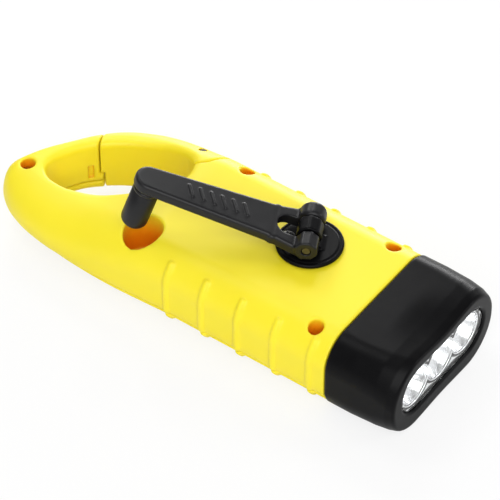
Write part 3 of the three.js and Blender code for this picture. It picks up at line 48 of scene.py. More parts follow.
TAIL_REACH = 92.0
CASE_FRONT = 23.2
CASE_HALF_WIDTH = 24.0
CASE_HEIGHT = 24.8
CASE_CORNER = 9.0
PARTING_HEIGHT = 5.4
WALL = 2.0
CAVITY_REAR = -33.0
CAVITY_FRONT = 19.2
CAVITY_CORNER = 7.0
NECK_HALF_WIDTH = 21.8
NECK_TOP = 22.6
NECK_BOTTOM = 2.2
NECK_CORNER = 6.8
NECK_REAR = 19.0
NECK_FRONT = 28.2
NECK_WALL = 1.6
THROAT_REAR = 18.2
OVER_ALL = CASE_HEIGHT + 9.0

# As shares of the main sizes: reach, far side, near side, top, bottom, far corner, near corner
STATIONS = np.array([
    (1.0, -0.508, -0.525, 0.544, 0.375, 0.3, 0.3),
    (0.997, -0.425, -0.608, 0.629, 0.29, 0.5, 0.5),
    (0.989, -0.342, -0.683, 0.704, 0.216, 0.6, 0.7),
    (0.978, -0.25, -0.746, 0.754, 0.165, 0.7, 0.9),
    (0.959, -0.121, -0.808, 0.788, 0.131, 0.75, 1.1),
    (0.933, 0.063, -0.875, 0.798, 0.121, 0.75, 1.2),
    (0.894, 0.292, -0.938, 0.798, 0.113, 0.75, 1.3),
    (0.855, 0.508, -0.983, 0.798, 0.105, 0.75, 1.35),
    (0.804, 0.721, -1.017, 0.798, 0.089, 0.75, 1.4),
    (0.739, 0.883, -1.038, 0.8, 0.065, 0.75, 1.4),
    (0.674, 0.967, -1.042, 0.823, 0.04, 0.75, 1.4),
    (0.608, 0.996, -1.042, 0.871, 0.02, 0.8, 1.35),
    (0.544, 1, -1.038, 0.927, 0.006, 0.9, 1.25),
    (0.479, 1, -1.029, 0.976, 0, 1, 1.15),
    (0.414, 1, -1.017, 1, 0, 1, 1.05),
    (0.326, 1, -1, 1, 0, 1, 1),
])
OPENING = np.array([
    (-0.782, -0.5), (-0.761, -0.479), (-0.738, -0.458), (-0.667, -0.36), (-0.559, -0.09),
    (-0.509, 0.1), (-0.492, 0.29), (-0.495, 0.43), (-0.512, 0.56), (-0.544, 0.635),
    (-0.584, 0.66), (-0.625, 0.648), (-0.667, 0.604), (-0.743, 0.471), (-0.81, 0.267),
    (-0.849, 0.092), (-0.881, -0.138), (-0.89, -0.27), (-0.882, -0.39), (-0.854, -0.475),
    (-0.82, -0.5),
])
GATE_SEAM = np.array([(-0.375, 1.35), (-0.464, 0.69)])
GATE_REGION = np.array([
    (-0.564, 0.36), (-0.717, 0.1), (-0.82, -0.1), (-0.973, 0.1), (-0.973, 1.35),
])
RIM_ROUND = 2.2

RIB_COUNT = 5
RIB_FIRST = -28.6
RIB_PITCH = 11.75
RIB_HALF_WIDTH = 1.3
RIB_CREST = 0.35
RIB_RISE = 0.7
RIB_INNER_FADE = (20.1, 21.3)
RIB_BOTTOM_FADE = (1.0, 2.1)

HUB = (-1.5, 4.5)
HUB_HEIGHT = 1.3
HUB_RADIUS = 9.3
PIN_HEIGHT = 4.0
KNOB_REACH = 44.6
KNOB_RADIUS = 3.75
KNOB_LENGTH = 15.0
KNOB_TIP = 2.2
ARM_CLEARANCE = 0.5
RECESS_INSET = 7.8
RECESS_LEAD = 0.7
RECESS_RADIUS = 5.5
RECESS_DEPTH_MARGIN = 0.6
KNOB_CLEARANCE = 1.2

# x, y and height of the tip
SCREWS = [(16.5, 18.0, 3.2), (16.5, -18.0, 3.2), (-32.6, 18.8, 3.2), (-86.2, -10.99, 4.8)]
BOSS_RADIUS = 3.4
HEAD_BORE = 2.1
HEAD_SEAT = 15.2
SHANK_BORE = 1.2
BORE_OVERLAP = 0.4
# Bearings and bores: radius, low end and high end
DRIVE_BEARING = (4.2, 20.6, 23.5)
DRIVE_BORE = (2.2, 15.0, 30.0)
ROTOR_AT = (7.86, -7.5)
ROTOR_BEARING = (2.4, 1.5, 3.9)
ROTOR_BORE = (1.0, 2.0, 6.0)

BUTTON_AT = (1.0, 13.49)
BUTTON_HALF = (3.5, 2.5)
BUTTON_CORNER = 1.4
BUTTON_HOLE_HALF = (3.7, 2.7)
BUTTON_HOLE_CORNER = 1.5
BUTTON_HOLE_BACK = 21.0
BUTTON_FLANGE_HALF = (4.5, 3.5)
BUTTON_BACK = 20.9
BUTTON_FLANGE_FRONT = 21.7
BUTTON_TRAVEL = 1.2
BUTTON_PROUD = 0.4
BUTTON_FACE = CASE_HALF_WIDTH + BUTTON_TRAVEL + BUTTON_PROUD
DISH_RADIUS = 12.0
DISH_DEPTH = 0.4

GATE_PIN = np.array((-48.39, 19.6))
GATE_REACH = 29.4
GATE_GAP = 0.4
GATE_SWING = math.radians(25)
LATCH_STEP = 1.1
LATCH_LEVEL = CASE_HEIGHT * 0.347
LATCH_SLOT = (-76.3, 4.3, CASE_HEIGHT * 0.379)
LATCH_SLOT_HALF = (1.2, 0.8, 2.45)
LATCH_SLOT_AZIMUTH = math.radians(139.5)
TONGUE_RADIUS = 2.7
TONGUE_GAP = 0.4
TONGUE_TOP = CASE_HEIGHT * 0.685
TONGUE_BOTTOM = CASE_HEIGHT * 0.411
GATE_PIN_BORE = (1.2, -1.0, 30.0)  # radius, low end and high end
SPRING_POCKET = 2.08
SPRING_LENGTH = 2.6
GATE_UNDERSIDE = 2.6

HUB_TOP = CASE_HEIGHT + SEAT_GAP + HUB_HEIGHT
PIN_LEVEL = HUB_TOP + PIN_HEIGHT
RECESS_Y = RECESS_INSET - CASE_HALF_WIDTH
AZIMUTH = math.pi + math.asin((HUB[1] - RECESS_Y) / (KNOB_REACH + RECESS_LEAD))
RECESS_X = HUB[0] + (KNOB_REACH + RECESS_LEAD) * math.cos(AZIMUTH)
KNOB_DROP = PIN_HEIGHT - ARM_CLEARANCE + KNOB_LENGTH
RECESS_FLOOR = PIN_LEVEL - KNOB_DROP - RECESS_DEPTH_MARGIN
TIP_REACH = KNOB_REACH - (KNOB_RADIUS - KNOB_TIP)
LIFT = math.atan2(KNOB_DROP, TIP_REACH) + math.asin(
    (CASE_HEIGHT + KNOB_CLEARANCE - PIN_LEVEL) / math.hypot(TIP_REACH, KNOB_DROP))

CRANK_FRAME = Matrix.Translation((HUB[0], HUB[1], 0)) @ Matrix.Rotation(AZIMUTH, 4, "Z")
ARM_FRAME = CRANK_FRAME @ Matrix.Translation((0, 0, PIN_LEVEL)) @ Matrix.Rotation(-LIFT, 4, "Y")


# Distance fields: negative inside, in millimetres, over a grid of points

class Grid:
    def __init__(self, low, high, step):
        self.low = np.array(low, float)
        self.step = step
        axes = [np.arange(a, b + step, step, dtype=np.float32) for a, b in zip(low, high)]
        self.x = axes[0][:, None, None]
        self.y = axes[1][None, :, None]
        self.z = axes[2][None, None, :]


def either(*fields):
    result = fields[0]
    for field in fields[1:]:
        result = np.minimum(result, field)
    return result


def both(*fields):
    result = fields[0]
    for field in fields[1:]:
        result = np.maximum(result, field)
    return result


def soft_both(a, b, blend):
    """Overlap of two fields with its edge rounded over the blend length."""
    h = np.clip(0.5 + 0.5 * (a - b) / blend, 0, 1)
    return b + (a - b) * h + blend * h * (1 - h)


def soft_either(a, b, blend):
    return -soft_both(-a, -b, blend)


def less(a, *cutters):
    for cutter in cutters:
        a = np.maximum(a, -cutter)
    return a


def soft_less(a, b, blend):
    return soft_both(a, -b, blend)


def slab(v, low, high):
    return np.maximum(low - v, v - high)


def block(g, x0, x1, y0, y1, z0, z1):
    return both(slab(g.x, x0, x1), slab(g.y, y0, y1), slab(g.z, z0, z1))


def post(g, x, y, radius, z0, z1):
    return both(np.hypot(g.x - x, g.y - y) - radius, slab(g.z, z0, z1))


def rounded_box(u, v, half_u, half_v, corner):
    du = np.abs(u) - half_u + corner
    dv = np.abs(v) - half_v + corner
    outside = np.hypot(np.maximum(du, 0), np.maximum(dv, 0))
    return outside + np.minimum(np.maximum(du, dv), 0) - corner


FAR_AWAY = 1e9
TINY = 1e-12


def outline(g, points):
    """Distance to a closed outline in plan."""
    px, py = np.broadcast_arrays(g.x[:, :, 0], g.y[:, :, 0])
    best = np.full(px.shape, FAR_AWAY, np.float32)
    inside = np.zeros(px.shape, bool)
    for (ax, ay), (bx, by) in zip(points, np.roll(points, -1, axis=0)):
        ex, ey = bx - ax, by - ay
        t = np.clip(((px - ax) * ex + (py - ay) * ey) / (ex * ex + ey * ey + TINY), 0, 1)
        best = np.minimum(best, np.hypot(px - ax - t * ex, py - ay - t * ey))
        if ay != by:
            inside ^= ((ay > py) != (by > py)) & (px < ex * (py - ay) / ey + ax)
    return np.where(inside, -best, best)[:, :, None].astype(np.float32)


def closed_curve(points, parts=6):
    """Smooth closed curve through the points."""
    p0, p1, p2, p3 = (np.roll(points, shift, axis=0) for shift in (1, 0, -1, -2))
    steps = []
    for t in np.arange(parts) / parts:
        steps.append(0.5 * (2 * p1 + (p2 - p0) * t + (2 * p0 - 5 * p1 + 4 * p2 - p3) * t ** 2
                            + (3 * p1 - p0 - 3 * p2 + p3) * t ** 3))
    return np.stack(steps, axis=1).reshape(-1, 2)


def eased(table, parts=16):
    """Rows of a table joined by curves that don't overshoot."""
    delta = np.diff(table, axis=0)
    slope = np.zeros_like(table)
    product = delta[:-1] * delta[1:]
    with np.errstate(divide="ignore", invalid="ignore"):
        mean = 2 * product / (delta[:-1] + delta[1:])
    slope[1:-1] = np.where(product > 0, mean, 0)
    slope[0], slope[-1] = delta[0], delta[-1]
    rows = []
    for i in range(len(table) - 1):
        for t in np.arange(parts) / parts:
            h = (2 * t**3 - 3 * t**2 + 1, t**3 - 2 * t**2 + t, 3 * t**2 - 2 * t**3, t**3 - t**2)
            rows.append(h[0] * table[i] + h[1] * slope[i] + h[2] * table[i + 1]
                        + h[3] * slope[i + 1])
    rows.append(table[-1])
    return np.array(rows)


CORNER_SHARE = 0.49
TALLEST_CORNER = CASE_CORNER * 1.12
LEAST_SLOPE = 1e-6
LEAST_GROWTH = 0.7


def profile_section(g, far, near, top, bottom, corners, z=None, limit=TALLEST_CORNER):
    """Field of a box section whose corners are far top, near top and low."""
    far_top, near_top, low = corners
    y = g.y
    z = g.z if z is None else z
    is_far = y > (far + near) / 2
    is_top = z > (top + bottom) / 2
    corner = np.where(is_top, np.where(is_far, far_top, near_top), low)
    ry = np.minimum(corner, (far - near) * CORNER_SHARE)
    rz = np.minimum(np.minimum(corner, limit), (top - bottom) * CORNER_SHARE)
    dy = np.where(is_far, y - far, near - y) + ry
    dz = np.where(is_top, z - top, bottom - z) + rz
    q = np.hypot(dy / ry, dz / rz)
    slope = np.maximum(np.hypot(dy / ry**2, dz / rz**2), LEAST_SLOPE)
    return np.where((dy > 0) & (dz > 0), (q - 1) * q / slope, np.maximum(dy - ry, dz - rz))


def evened(field, step):
    """Field scaled so that it grows by one for each millimetre."""
    growth = np.sqrt(sum(part**2 for part in np.gradient(field, step)))
    return field / np.maximum(growth, LEAST_GROWTH)


def case_skin(g):
    rows = eased(STATIONS)[::-1]
    scale = np.array([-TAIL_REACH, CASE_HALF_WIDTH, CASE_HALF_WIDTH, CASE_HEIGHT, CASE_HEIGHT,
                      CASE_CORNER, CASE_CORNER])
    rows = rows * scale
    rows = rows[np.argsort(rows[:, 0])]
    far, near, top, bottom, far_corner, near_corner = (
        np.interp(g.x.ravel(), rows[:, 0], rows[:, k])[:, None, None].astype(np.float32)
        for k in range(1, 7))
    corners = (far_corner, near_corner, np.minimum(near_corner, CASE_CORNER))
    section = profile_section(g, far, near, top, bottom, corners)
    return both(section, slab(g.x, -TAIL_REACH, CASE_FRONT))


def plain_section(g, half_width, top, bottom, corner):
    return profile_section(g, half_width, -half_width, top, bottom, (corner, corner, corner))


def step_up(v, low, high):
    t = np.clip((v - low) / (high - low), 0, 1)
    return t * t * (3 - 2 * t)


def rib_rise(g):
    """Height of the grip ribs over the skin."""
    rise = 0
    for i in range(RIB_COUNT):
        away = np.abs(g.x - RIB_FIRST - i * RIB_PITCH)
        rise = rise + 1 - step_up(away, RIB_CREST, RIB_HALF_WIDTH)
    inward = step_up(np.abs(g.y), *RIB_INNER_FADE)
    return RIB_RISE * rise * inward * step_up(g.z, *RIB_BOTTOM_FADE)


def full_size(points):
    """Plan points in millimetres from shares of the case's reach and half width."""
    return points * (TAIL_REACH, CASE_HALF_WIDTH)


HEEL_POINTS = 12


def gate_field(g, grow):
    """Space of the gate: its straight seam runs on round the pin."""
    outer, inner = full_size(GATE_SEAM)
    along = (outer - inner) / np.linalg.norm(outer - inner)
    normal = np.array((along[1], -along[0]))
    heel = (inner - GATE_PIN) @ normal
    start = math.atan2(normal[1], normal[0])
    turns = np.linspace(start, -math.pi / 2, HEEL_POINTS)
    bend = GATE_PIN + heel * np.stack((np.cos(turns), np.sin(turns)), axis=1)
    region = outline(g, np.concatenate(([outer], bend, full_size(GATE_REGION))))
    out = np.hypot(g.x - GATE_PIN[0], g.y - GATE_PIN[1])
    high = both(out - GATE_REACH, LATCH_LEVEL - g.z)
    low = out - GATE_REACH + LATCH_STEP
    return both(region, either(high, low)) - grow


def latch_slot(g):
    x, y = g.x - LATCH_SLOT[0], g.y - LATCH_SLOT[1]
    u = x * math.cos(LATCH_SLOT_AZIMUTH) + y * math.sin(LATCH_SLOT_AZIMUTH)
    v = y * math.cos(LATCH_SLOT_AZIMUTH) - x * math.sin(LATCH_SLOT_AZIMUTH)
    w = g.z - LATCH_SLOT[2]
    return both(*(np.abs(d) - half for d, half in zip((u, v, w), LATCH_SLOT_HALF)))


# Surface of a field as a mesh of quads

def skin_of(field, g):
    """Vertices and quads on the zero level of the field."""
    shape = np.array(field.shape) - 1
    size = int(np.prod(shape))
    sums = np.zeros((size, 3))
    counts = np.zeros(size)
    quads = []
    for axis in range(3):
        lower = tuple(slice(0, -1) if k == axis else slice(None) for k in range(3))
        upper = tuple(slice(1, None) if k == axis else slice(None) for k in range(3))
        f0, f1 = field[lower], field[upper]
        crossing = (f0 < 0) != (f1 < 0)
        at = np.argwhere(crossing)
        v0, v1 = f0[crossing], f1[crossing]
        points = at.astype(float)
        points[:, axis] += v0 / (v0 - v1)
        a, b = [k for k in range(3) if k != axis]
        cells = []
        for da, db in ((1, 1), (0, 1), (0, 0), (1, 0)):
            cell = at.copy()
            cell[:, a] -= da
            cell[:, b] -= db
            flat = np.ravel_multi_index(np.clip(cell, 0, shape - 1).T, shape)
            cells.append(flat)
            counts += np.bincount(flat, minlength=size)
            for k in range(3):
                sums[:, k] += np.bincount(flat, weights=points[:, k], minlength=size)
        quad = np.stack(cells, axis=1)
        flip = (v0 < 0) if axis == 1 else (v0 >= 0)
        quad[flip] = quad[flip][:, ::-1]
        quads.append(quad)
    quads = np.concatenate(quads)
    used = np.flatnonzero(counts)
    index = np.zeros(size, int)
    index[used] = np.arange(len(used))
    vertices = g.low + sums[used] / counts[used][:, None] * g.step
    return vertices, index[quads]


def add_piece(name, vertices, faces, look, body, stands_for=(), matrix=None, keep=1.0):
    mesh = bpy.data.meshes.new(name)
    mesh.from_pydata(np.asarray(vertices).tolist(), [], np.asarray(faces).tolist()
                     if isinstance(faces, np.ndarray) else faces)
    if matrix is not None:
        mesh.transform(matrix)
    mesh.transform(Matrix.Scale(MM, 4))
    mesh.validate()
    piece = bpy.data.objects.new(name, mesh)
    bpy.context.scene.collection.objects.link(piece)
    if keep < 1:
        thin_out(piece, keep)
    piece.data.shade_smooth()
    piece.data.materials.append(look)
    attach(piece, body)
    if stands_for:
        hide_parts(*stands_for)
    return piece


def thin_out(piece, keep):
    """Fewer faces where the surface is plain."""
    modifier = piece.modifiers.new("thin", "DECIMATE")
    modifier.ratio = keep
    settle(piece)


def settle(piece):
    """Modifiers of the piece made part of its mesh."""
    graph = bpy.context.evaluated_depsgraph_get()
    mesh = bpy.data.meshes.new_from_object(piece.evaluated_get(graph))
    old = piece.data
    piece.modifiers.clear()
    piece.data = mesh
    bpy.data.meshes.remove(old)


# Finishes, with lengths in metres

NOISE_RANGE = (0.3, 0.7)
CLOUD_RANGE = (0.32, 0.68)
# Openness over which hollows take on painted shade
HOLLOW_SHADE_RANGE = (0.12, 0.72)
GLOW_DEPTH = 0.001
GLOW_SPREAD = (1.0, 0.7, 0.15)
GRAIN_HEIGHT = 0.0001
GLOSS_MOTTLE = 4
GRAIN_DETAIL = 2.0


def new_look(name):
    look = bpy.data.materials.new(name)
    look.use_nodes = True
    nodes = look.node_tree.nodes
    return look, nodes, look.node_tree.links, nodes["Principled BSDF"]


def noise(nodes, links, coords, scale, detail=3.0):
    node = nodes.new("ShaderNodeTexNoise")
    node.inputs["Scale"].default_value = scale
    node.inputs["Detail"].default_value = detail
    links.new(coords.outputs["Object"], node.inputs["Vector"])
    return node.outputs["Fac"]


def spread(nodes, links, value, low, high):
    node = nodes.new("ShaderNodeMapRange")
    node.inputs["From Min"].default_value, node.inputs["From Max"].default_value = NOISE_RANGE
    node.inputs["To Min"].default_value = low
    node.inputs["To Max"].default_value = high
    links.new(value, node.inputs["Value"])
    return node.outputs["Result"]


def blend_colors(nodes, links, value, one, other):
    ramp = nodes.new("ShaderNodeValToRGB")
    for element, place, color in zip(ramp.color_ramp.elements, CLOUD_RANGE, (one, other)):
        element.position = place
        element.color = (*color, 1)
    links.new(value, ramp.inputs["Fac"])
    return ramp.outputs["Color"]


def finish(name, colors, roughness, metallic=0.0, grain=(1800.0, 0.05), mottle=60.0,
           specular=0.5, coat=0.0, glow=0.0, stretch=None):
    """Moulded or turned surface: cloudy colour, uneven gloss and a fine grain."""
    look, nodes, links, shader = new_look(name)
    coords = nodes.new("ShaderNodeTexCoord")
    shader.inputs["Metallic"].default_value = metallic
    shader.inputs["Specular IOR Level"].default_value = specular
    shader.inputs["Coat Weight"].default_value = coat
    if glow:
        shader.inputs["Subsurface Weight"].default_value = glow
        shader.inputs["Subsurface Scale"].default_value = GLOW_DEPTH
        shader.inputs["Subsurface Radius"].default_value = GLOW_SPREAD
    cloud = noise(nodes, links, coords, mottle)
    links.new(blend_colors(nodes, links, cloud, *colors), shader.inputs["Base Color"])
    gloss = noise(nodes, links, coords, mottle * GLOSS_MOTTLE)
    links.new(spread(nodes, links, gloss, *roughness), shader.inputs["Roughness"])
    if stretch:
        mapping = nodes.new("ShaderNodeMapping")
        mapping.inputs["Scale"].default_value = stretch
        links.new(coords.outputs["Object"], mapping.inputs["Vector"])
        fine = nodes.new("ShaderNodeTexNoise")
        fine.inputs["Scale"].default_value = grain[0]
        links.new(mapping.outputs["Vector"], fine.inputs["Vector"])
        fine = fine.outputs["Fac"]
    else:
        fine = noise(nodes, links, coords, grain[0], GRAIN_DETAIL)
    bump = nodes.new("ShaderNodeBump")
    bump.inputs["Strength"].default_value = grain[1]
    bump.inputs["Distance"].default_value = GRAIN_HEIGHT
    links.new(fine, bump.inputs["Height"])
    links.new(bump.outputs["Normal"], shader.inputs["Normal"])
    return look


def painted_hollow_shade(look, color, reach):
    """Base colour that turns to another where the piece encloses its own surface, as in holes:
    painted shade in hollows, creases and grooves.
    """
    nodes, links = look.node_tree.nodes, look.node_tree.links
    shader = nodes["Principled BSDF"]
    plain = shader.inputs["Base Color"].links[0].from_socket
    hollow_openness = nodes.new("ShaderNodeAmbientOcclusion")
    hollow_openness.samples = 6
    hollow_openness.only_local = True
    hollow_openness.inputs["Distance"].default_value = reach
    amount = nodes.new("ShaderNodeMapRange")
    for socket, value in zip(("From Min", "From Max", "To Min", "To Max"),
                             (*HOLLOW_SHADE_RANGE, 1.0, 0.0)):
        amount.inputs[socket].default_value = value
    mix = nodes.new("ShaderNodeMix")
    mix.data_type = "RGBA"
    links.new(hollow_openness.outputs["AO"], amount.inputs["Value"])
    links.new(amount.outputs["Result"], mix.inputs["Factor"])
    links.new(plain, mix.inputs["A"])
    mix.inputs["B"].default_value = (*color, 1)
    links.new(mix.outputs["Result"], shader.inputs["Base Color"])
    return look


# Yellow plastic; holes, the knob recess, seams and creases are painted deep orange as shade
YELLOW = painted_hollow_shade(finish("yellow_plastic", ((0.92, 0.775, 0.02), (0.94, 0.795, 0.026)),
                         (0.42, 0.47), grain=(2600.0, 0.035), mottle=45.0, glow=0.1,
                         specular=0.4),
                  (0.9, 0.27, 0.0), reach=0.012)
BLACK = finish("black_plastic", ((0.0025, 0.0025, 0.003), (0.004, 0.004, 0.0045)), (0.32, 0.36),
               grain=(3200.0, 0.06), mottle=80.0, specular=0.09)
ARM_BLACK = finish("arm_black", ((0.007, 0.007, 0.008), (0.01, 0.01, 0.011)), (0.34, 0.38),
                   grain=(3000.0, 0.05), mottle=90.0, specular=0.3)
DARK_STEEL = finish("dark_steel", ((0.1, 0.09, 0.08), (0.15, 0.14, 0.12)), (0.4, 0.5), metallic=1.0,
                    grain=(900.0, 0.12), mottle=300.0)
GOLD_ZINC = finish("yellow_zinc", ((0.55, 0.3, 0.05), (0.65, 0.38, 0.08)), (0.4, 0.5), metallic=1.0,
                   grain=(900.0, 0.12), mottle=300.0)
STEEL = finish("steel", ((0.42, 0.42, 0.44), (0.55, 0.55, 0.57)), (0.22, 0.36), metallic=1.0,
               grain=(900.0, 0.12), mottle=300.0, stretch=(1.0, 1.0, 6.0))
# Reflector metal; its grooves and tight hollows are painted near black as shade
BRIGHT = painted_hollow_shade(finish("reflector_metal", ((0.93, 0.93, 0.94), (0.96, 0.96, 0.97)),
                         (0.12, 0.16), metallic=1.0, grain=(500.0, 0.03), mottle=150.0),
                  (0.02, 0.02, 0.025), reach=0.0016)
GEAR_WHITE = finish("gear_plastic", ((0.74, 0.71, 0.62), (0.8, 0.78, 0.7)), (0.35, 0.45))
FRAME_GREY = finish("frame_plastic", ((0.24, 0.25, 0.26), (0.3, 0.31, 0.32)), (0.45, 0.6))
BOARD_GREEN = finish("board_mask", ((0.012, 0.12, 0.035), (0.02, 0.17, 0.055)), (0.3, 0.45),
                     grain=(700.0, 0.2), mottle=500.0)
COPPER = finish("copper_winding", ((0.4, 0.13, 0.04), (0.55, 0.2, 0.07)), (0.3, 0.45),
                metallic=0.9, grain=(900.0, 0.5), stretch=(0.2, 0.2, 4.0))
MAGNET = finish("magnet", ((0.06, 0.06, 0.07), (0.09, 0.09, 0.1)), (0.4, 0.6), metallic=0.6,
                grain=(1500.0, 0.2))
CELL_GREEN = finish("cell_sleeve", ((0.03, 0.2, 0.07), (0.04, 0.26, 0.1)), (0.3, 0.4), coat=0.3)
RESIN_YELLOW = finish("phosphor", ((0.85, 0.72, 0.2), (0.9, 0.78, 0.3)), (0.4, 0.6))


HAZE_SCALE = 400.0


def clear_look(name, tint, roughness, ior):
    look, nodes, links, shader = new_look(name)
    shader.inputs["Base Color"].default_value = (*tint, 1)
    shader.inputs["Transmission Weight"].default_value = 1.0
    shader.inputs["IOR"].default_value = ior
    coords = nodes.new("ShaderNodeTexCoord")
    haze = noise(nodes, links, coords, HAZE_SCALE)
    links.new(spread(nodes, links, haze, 0, roughness), shader.inputs["Roughness"])
    return look


LENS = clear_look("clear_lens", (0.97, 0.98, 0.98), roughness=0.04, ior=1.18)
RESIN = clear_look("clear_resin", (0.96, 0.97, 0.95), roughness=0.05, ior=1.45)

LOOKS = {
    "case_screw_front_far": GOLD_ZINC, "case_screw_front_near": GOLD_ZINC,
    "case_screw_rear": GOLD_ZINC, "case_screw_tail": GOLD_ZINC, "gate_pin": DARK_STEEL,
    "gate_spring": STEEL, "hinge_pin": DARK_STEEL,
    "hub_screw": STEEL, "knob_pin": STEEL, "drive_shaft": STEEL, "rotor_shaft": STEEL,
    "idler_gear_1_axle": STEEL, "idler_gear_2_axle": STEEL, "drive_gear": GEAR_WHITE,
    "idler_gear_1": GEAR_WHITE, "idler_gear_2": GEAR_WHITE, "rotor_pinion": GEAR_WHITE,
    "gear_frame": FRAME_GREY, "stator": COPPER, "rotor_magnet": MAGNET,
    "led_board": BOARD_GREEN, "main_board": BOARD_GREEN, "controller_chip": BLACK,
    "switch_body": BLACK, "cell_1": CELL_GREEN, "cell_2": CELL_GREEN, "cell_3": CELL_GREEN,
}
for node_name, look in LOOKS.items():
    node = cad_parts[node_name]
    node.data.materials.clear()
    node.data.materials.append(look)


# Case and gate

def inner_bosses(g, skin):
    posts = [both(post(g, x, y, BOSS_RADIUS, 0, CASE_HEIGHT), skin) for x, y, _ in SCREWS]
    return either(*posts)


def button_section(g, half, corner):
    return rounded_box(g.x - BUTTON_AT[0], g.z - BUTTON_AT[1], *half, corner)


def neck_section(g, grow, corner):
    """Section of the neck that the hood is pushed on, grown by a length."""
    return plain_section(g, NECK_HALF_WIDTH + grow, NECK_TOP + grow, NECK_BOTTOM - grow, corner)


def case_field(g):
    skin = evened(case_skin(g), g.step)
    ribbed = skin - rib_rise(g)
    neck = both(neck_section(g, 0, NECK_CORNER), slab(g.x, NECK_REAR, NECK_FRONT))
    cavity = both(plain_section(g, CASE_HALF_WIDTH - WALL, CASE_HEIGHT - WALL, WALL,
                                CAVITY_CORNER), slab(g.x, CAVITY_REAR, CAVITY_FRONT))
    throat = both(neck_section(g, -NECK_WALL, NECK_CORNER - NECK_WALL), THROAT_REAR - g.x)
    hollow = less(either(ribbed, neck), cavity, throat)
    opening = outline(g, closed_curve(full_size(OPENING)))
    whole = soft_less(either(hollow, inner_bosses(g, skin)), opening, RIM_ROUND)
    whole = soft_less(whole, gate_field(g, GATE_GAP), blend=0.5)
    whole = less(whole, latch_slot(g))
    recess = post(g, RECESS_X, RECESS_Y, RECESS_RADIUS, RECESS_FLOOR, OVER_ALL)
    whole = soft_less(whole, recess, blend=0.7)
    button = both(button_section(g, BUTTON_HOLE_HALF, BUTTON_HOLE_CORNER),
                  BUTTON_HOLE_BACK - g.y)
    whole = soft_less(whole, button, blend=0.4)
    for x, y, tip in SCREWS:
        whole = soft_less(whole, post(g, x, y, HEAD_BORE, HEAD_SEAT, OVER_ALL), blend=0.5)
        whole = less(whole, post(g, x, y, SHANK_BORE, tip - SEAT_GAP, HEAD_SEAT + BORE_OVERLAP))
    return whole, soft_less(skin, opening, RIM_ROUND)


def tongue_field(g, ring):
    px, py = GATE_PIN
    neck = block(g, px, CAVITY_REAR - 1, py - TONGUE_RADIUS, py + TONGUE_RADIUS,
                 TONGUE_BOTTOM, TONGUE_TOP)
    end = post(g, px, py, TONGUE_RADIUS, TONGUE_BOTTOM, TONGUE_TOP)
    tongue = both(either(neck, end), ring)
    pocket = post(g, px, py, SPRING_POCKET, TONGUE_TOP - SPRING_LENGTH, TONGUE_TOP + 1)
    return less(tongue, pocket, post(g, px, py, *GATE_PIN_BORE))


def tongue_space(g):
    """Slot in the gate that clears the tongue while the gate swings."""
    x, y = g.x - GATE_PIN[0], g.y - GATE_PIN[1]
    half = TONGUE_RADIUS + TONGUE_GAP
    lower = -x * math.sin(GATE_SWING) - y * math.cos(GATE_SWING)
    wedge = both(y - half, lower - half, -x)
    slot = either(wedge, np.hypot(x, y) - half)
    return both(slot, slab(g.z, TONGUE_BOTTOM - TONGUE_GAP, TONGUE_TOP + TONGUE_GAP))


def build_case():
    high = Grid((-93, -26.5, PARTING_HEIGHT - 1), (29.5, 26.5, 26), step=0.4)
    whole, ring = case_field(high)
    upper = soft_both(whole, PARTING_HEIGHT + SEAM_GAP / 2 - high.z, blend=1.1)
    upper = either(upper, tongue_field(high, ring))
    upper = less(either(upper, post(high, *HUB, *DRIVE_BEARING)), post(high, *HUB, *DRIVE_BORE))
    vertices, faces = skin_of(upper, high)
    add_piece("case_upper", vertices, faces, YELLOW, "case",
              ("upper_shell", "knob_seat"), keep=0.45)

    low = Grid((-93, -26.5, -1), (29.5, 26.5, PARTING_HEIGHT + 1), step=0.4)
    whole, _ = case_field(low)
    lower = soft_both(whole, low.z - PARTING_HEIGHT + SEAM_GAP / 2, blend=0.8)
    bearing = less(post(low, *ROTOR_AT, *ROTOR_BEARING), post(low, *ROTOR_AT, *ROTOR_BORE))
    vertices, faces = skin_of(either(lower, bearing), low)
    add_piece("case_lower", vertices, faces, YELLOW, "case", ("lower_shell",), keep=0.45)


def build_gate():
    g = Grid((-79, 4, 1), (-37, 26.5, 25.5), step=0.3)
    opening = outline(g, closed_curve(full_size(OPENING)))
    skin = evened(case_skin(g), g.step)
    gate = soft_less(skin, opening, RIM_ROUND)
    gate = soft_both(gate, gate_field(g, 0), blend=0.5)
    gate = soft_both(gate, GATE_UNDERSIDE - g.z, blend=1.2)
    gate = less(gate, tongue_space(g), post(g, *GATE_PIN, *GATE_PIN_BORE))
    vertices, faces = skin_of(gate, g)
    add_piece("ring_gate", vertices, faces, YELLOW, "gate", ("gate",), keep=0.5)


build_case()
build_gate()

# Hood, lens, reflector and lamps
HOOD_FRONT = 45.2
LAMP_HEIGHT = CASE_HEIGHT * 0.53
WINDOW_INSET = 4.8
WINDOW_HALF = CASE_HALF_WIDTH - WINDOW_INSET
WINDOW_RADIUS = CASE_HEIGHT * 0.605 / 2
LAMP_PITCH = WINDOW_HALF - WINDOW_RADIUS
HOOD_GAP = 0.35
HOOD_REAR = CASE_FRONT + HOOD_GAP
LIP_THICKNESS = 1.4
LIP_BACK = HOOD_FRONT - LIP_THICKNESS
LIP_OVERLAP = 1.0
SOCKET_DEPTH = 6.2
REFLECTOR_DEPTH = 9.6
REFLECTOR_FRONT = LIP_BACK - SEAT_GAP
REFLECTOR_BACK = REFLECTOR_FRONT - REFLECTOR_DEPTH
LENS_BACK = REFLECTOR_FRONT + SEAT_GAP
LENS_THICKNESS = 0.9
LENS_FRONT = LENS_BACK + LENS_THICKNESS
REFLECTOR_MARGIN = 1.2
POCKET_MARGIN = 1.4
CUP_MOUTH = LAMP_PITCH * 0.526
CUP_ROOT = 2.9
CUP_FLOOR = REFLECTOR_BACK + REFLECTOR_DEPTH * 0.16
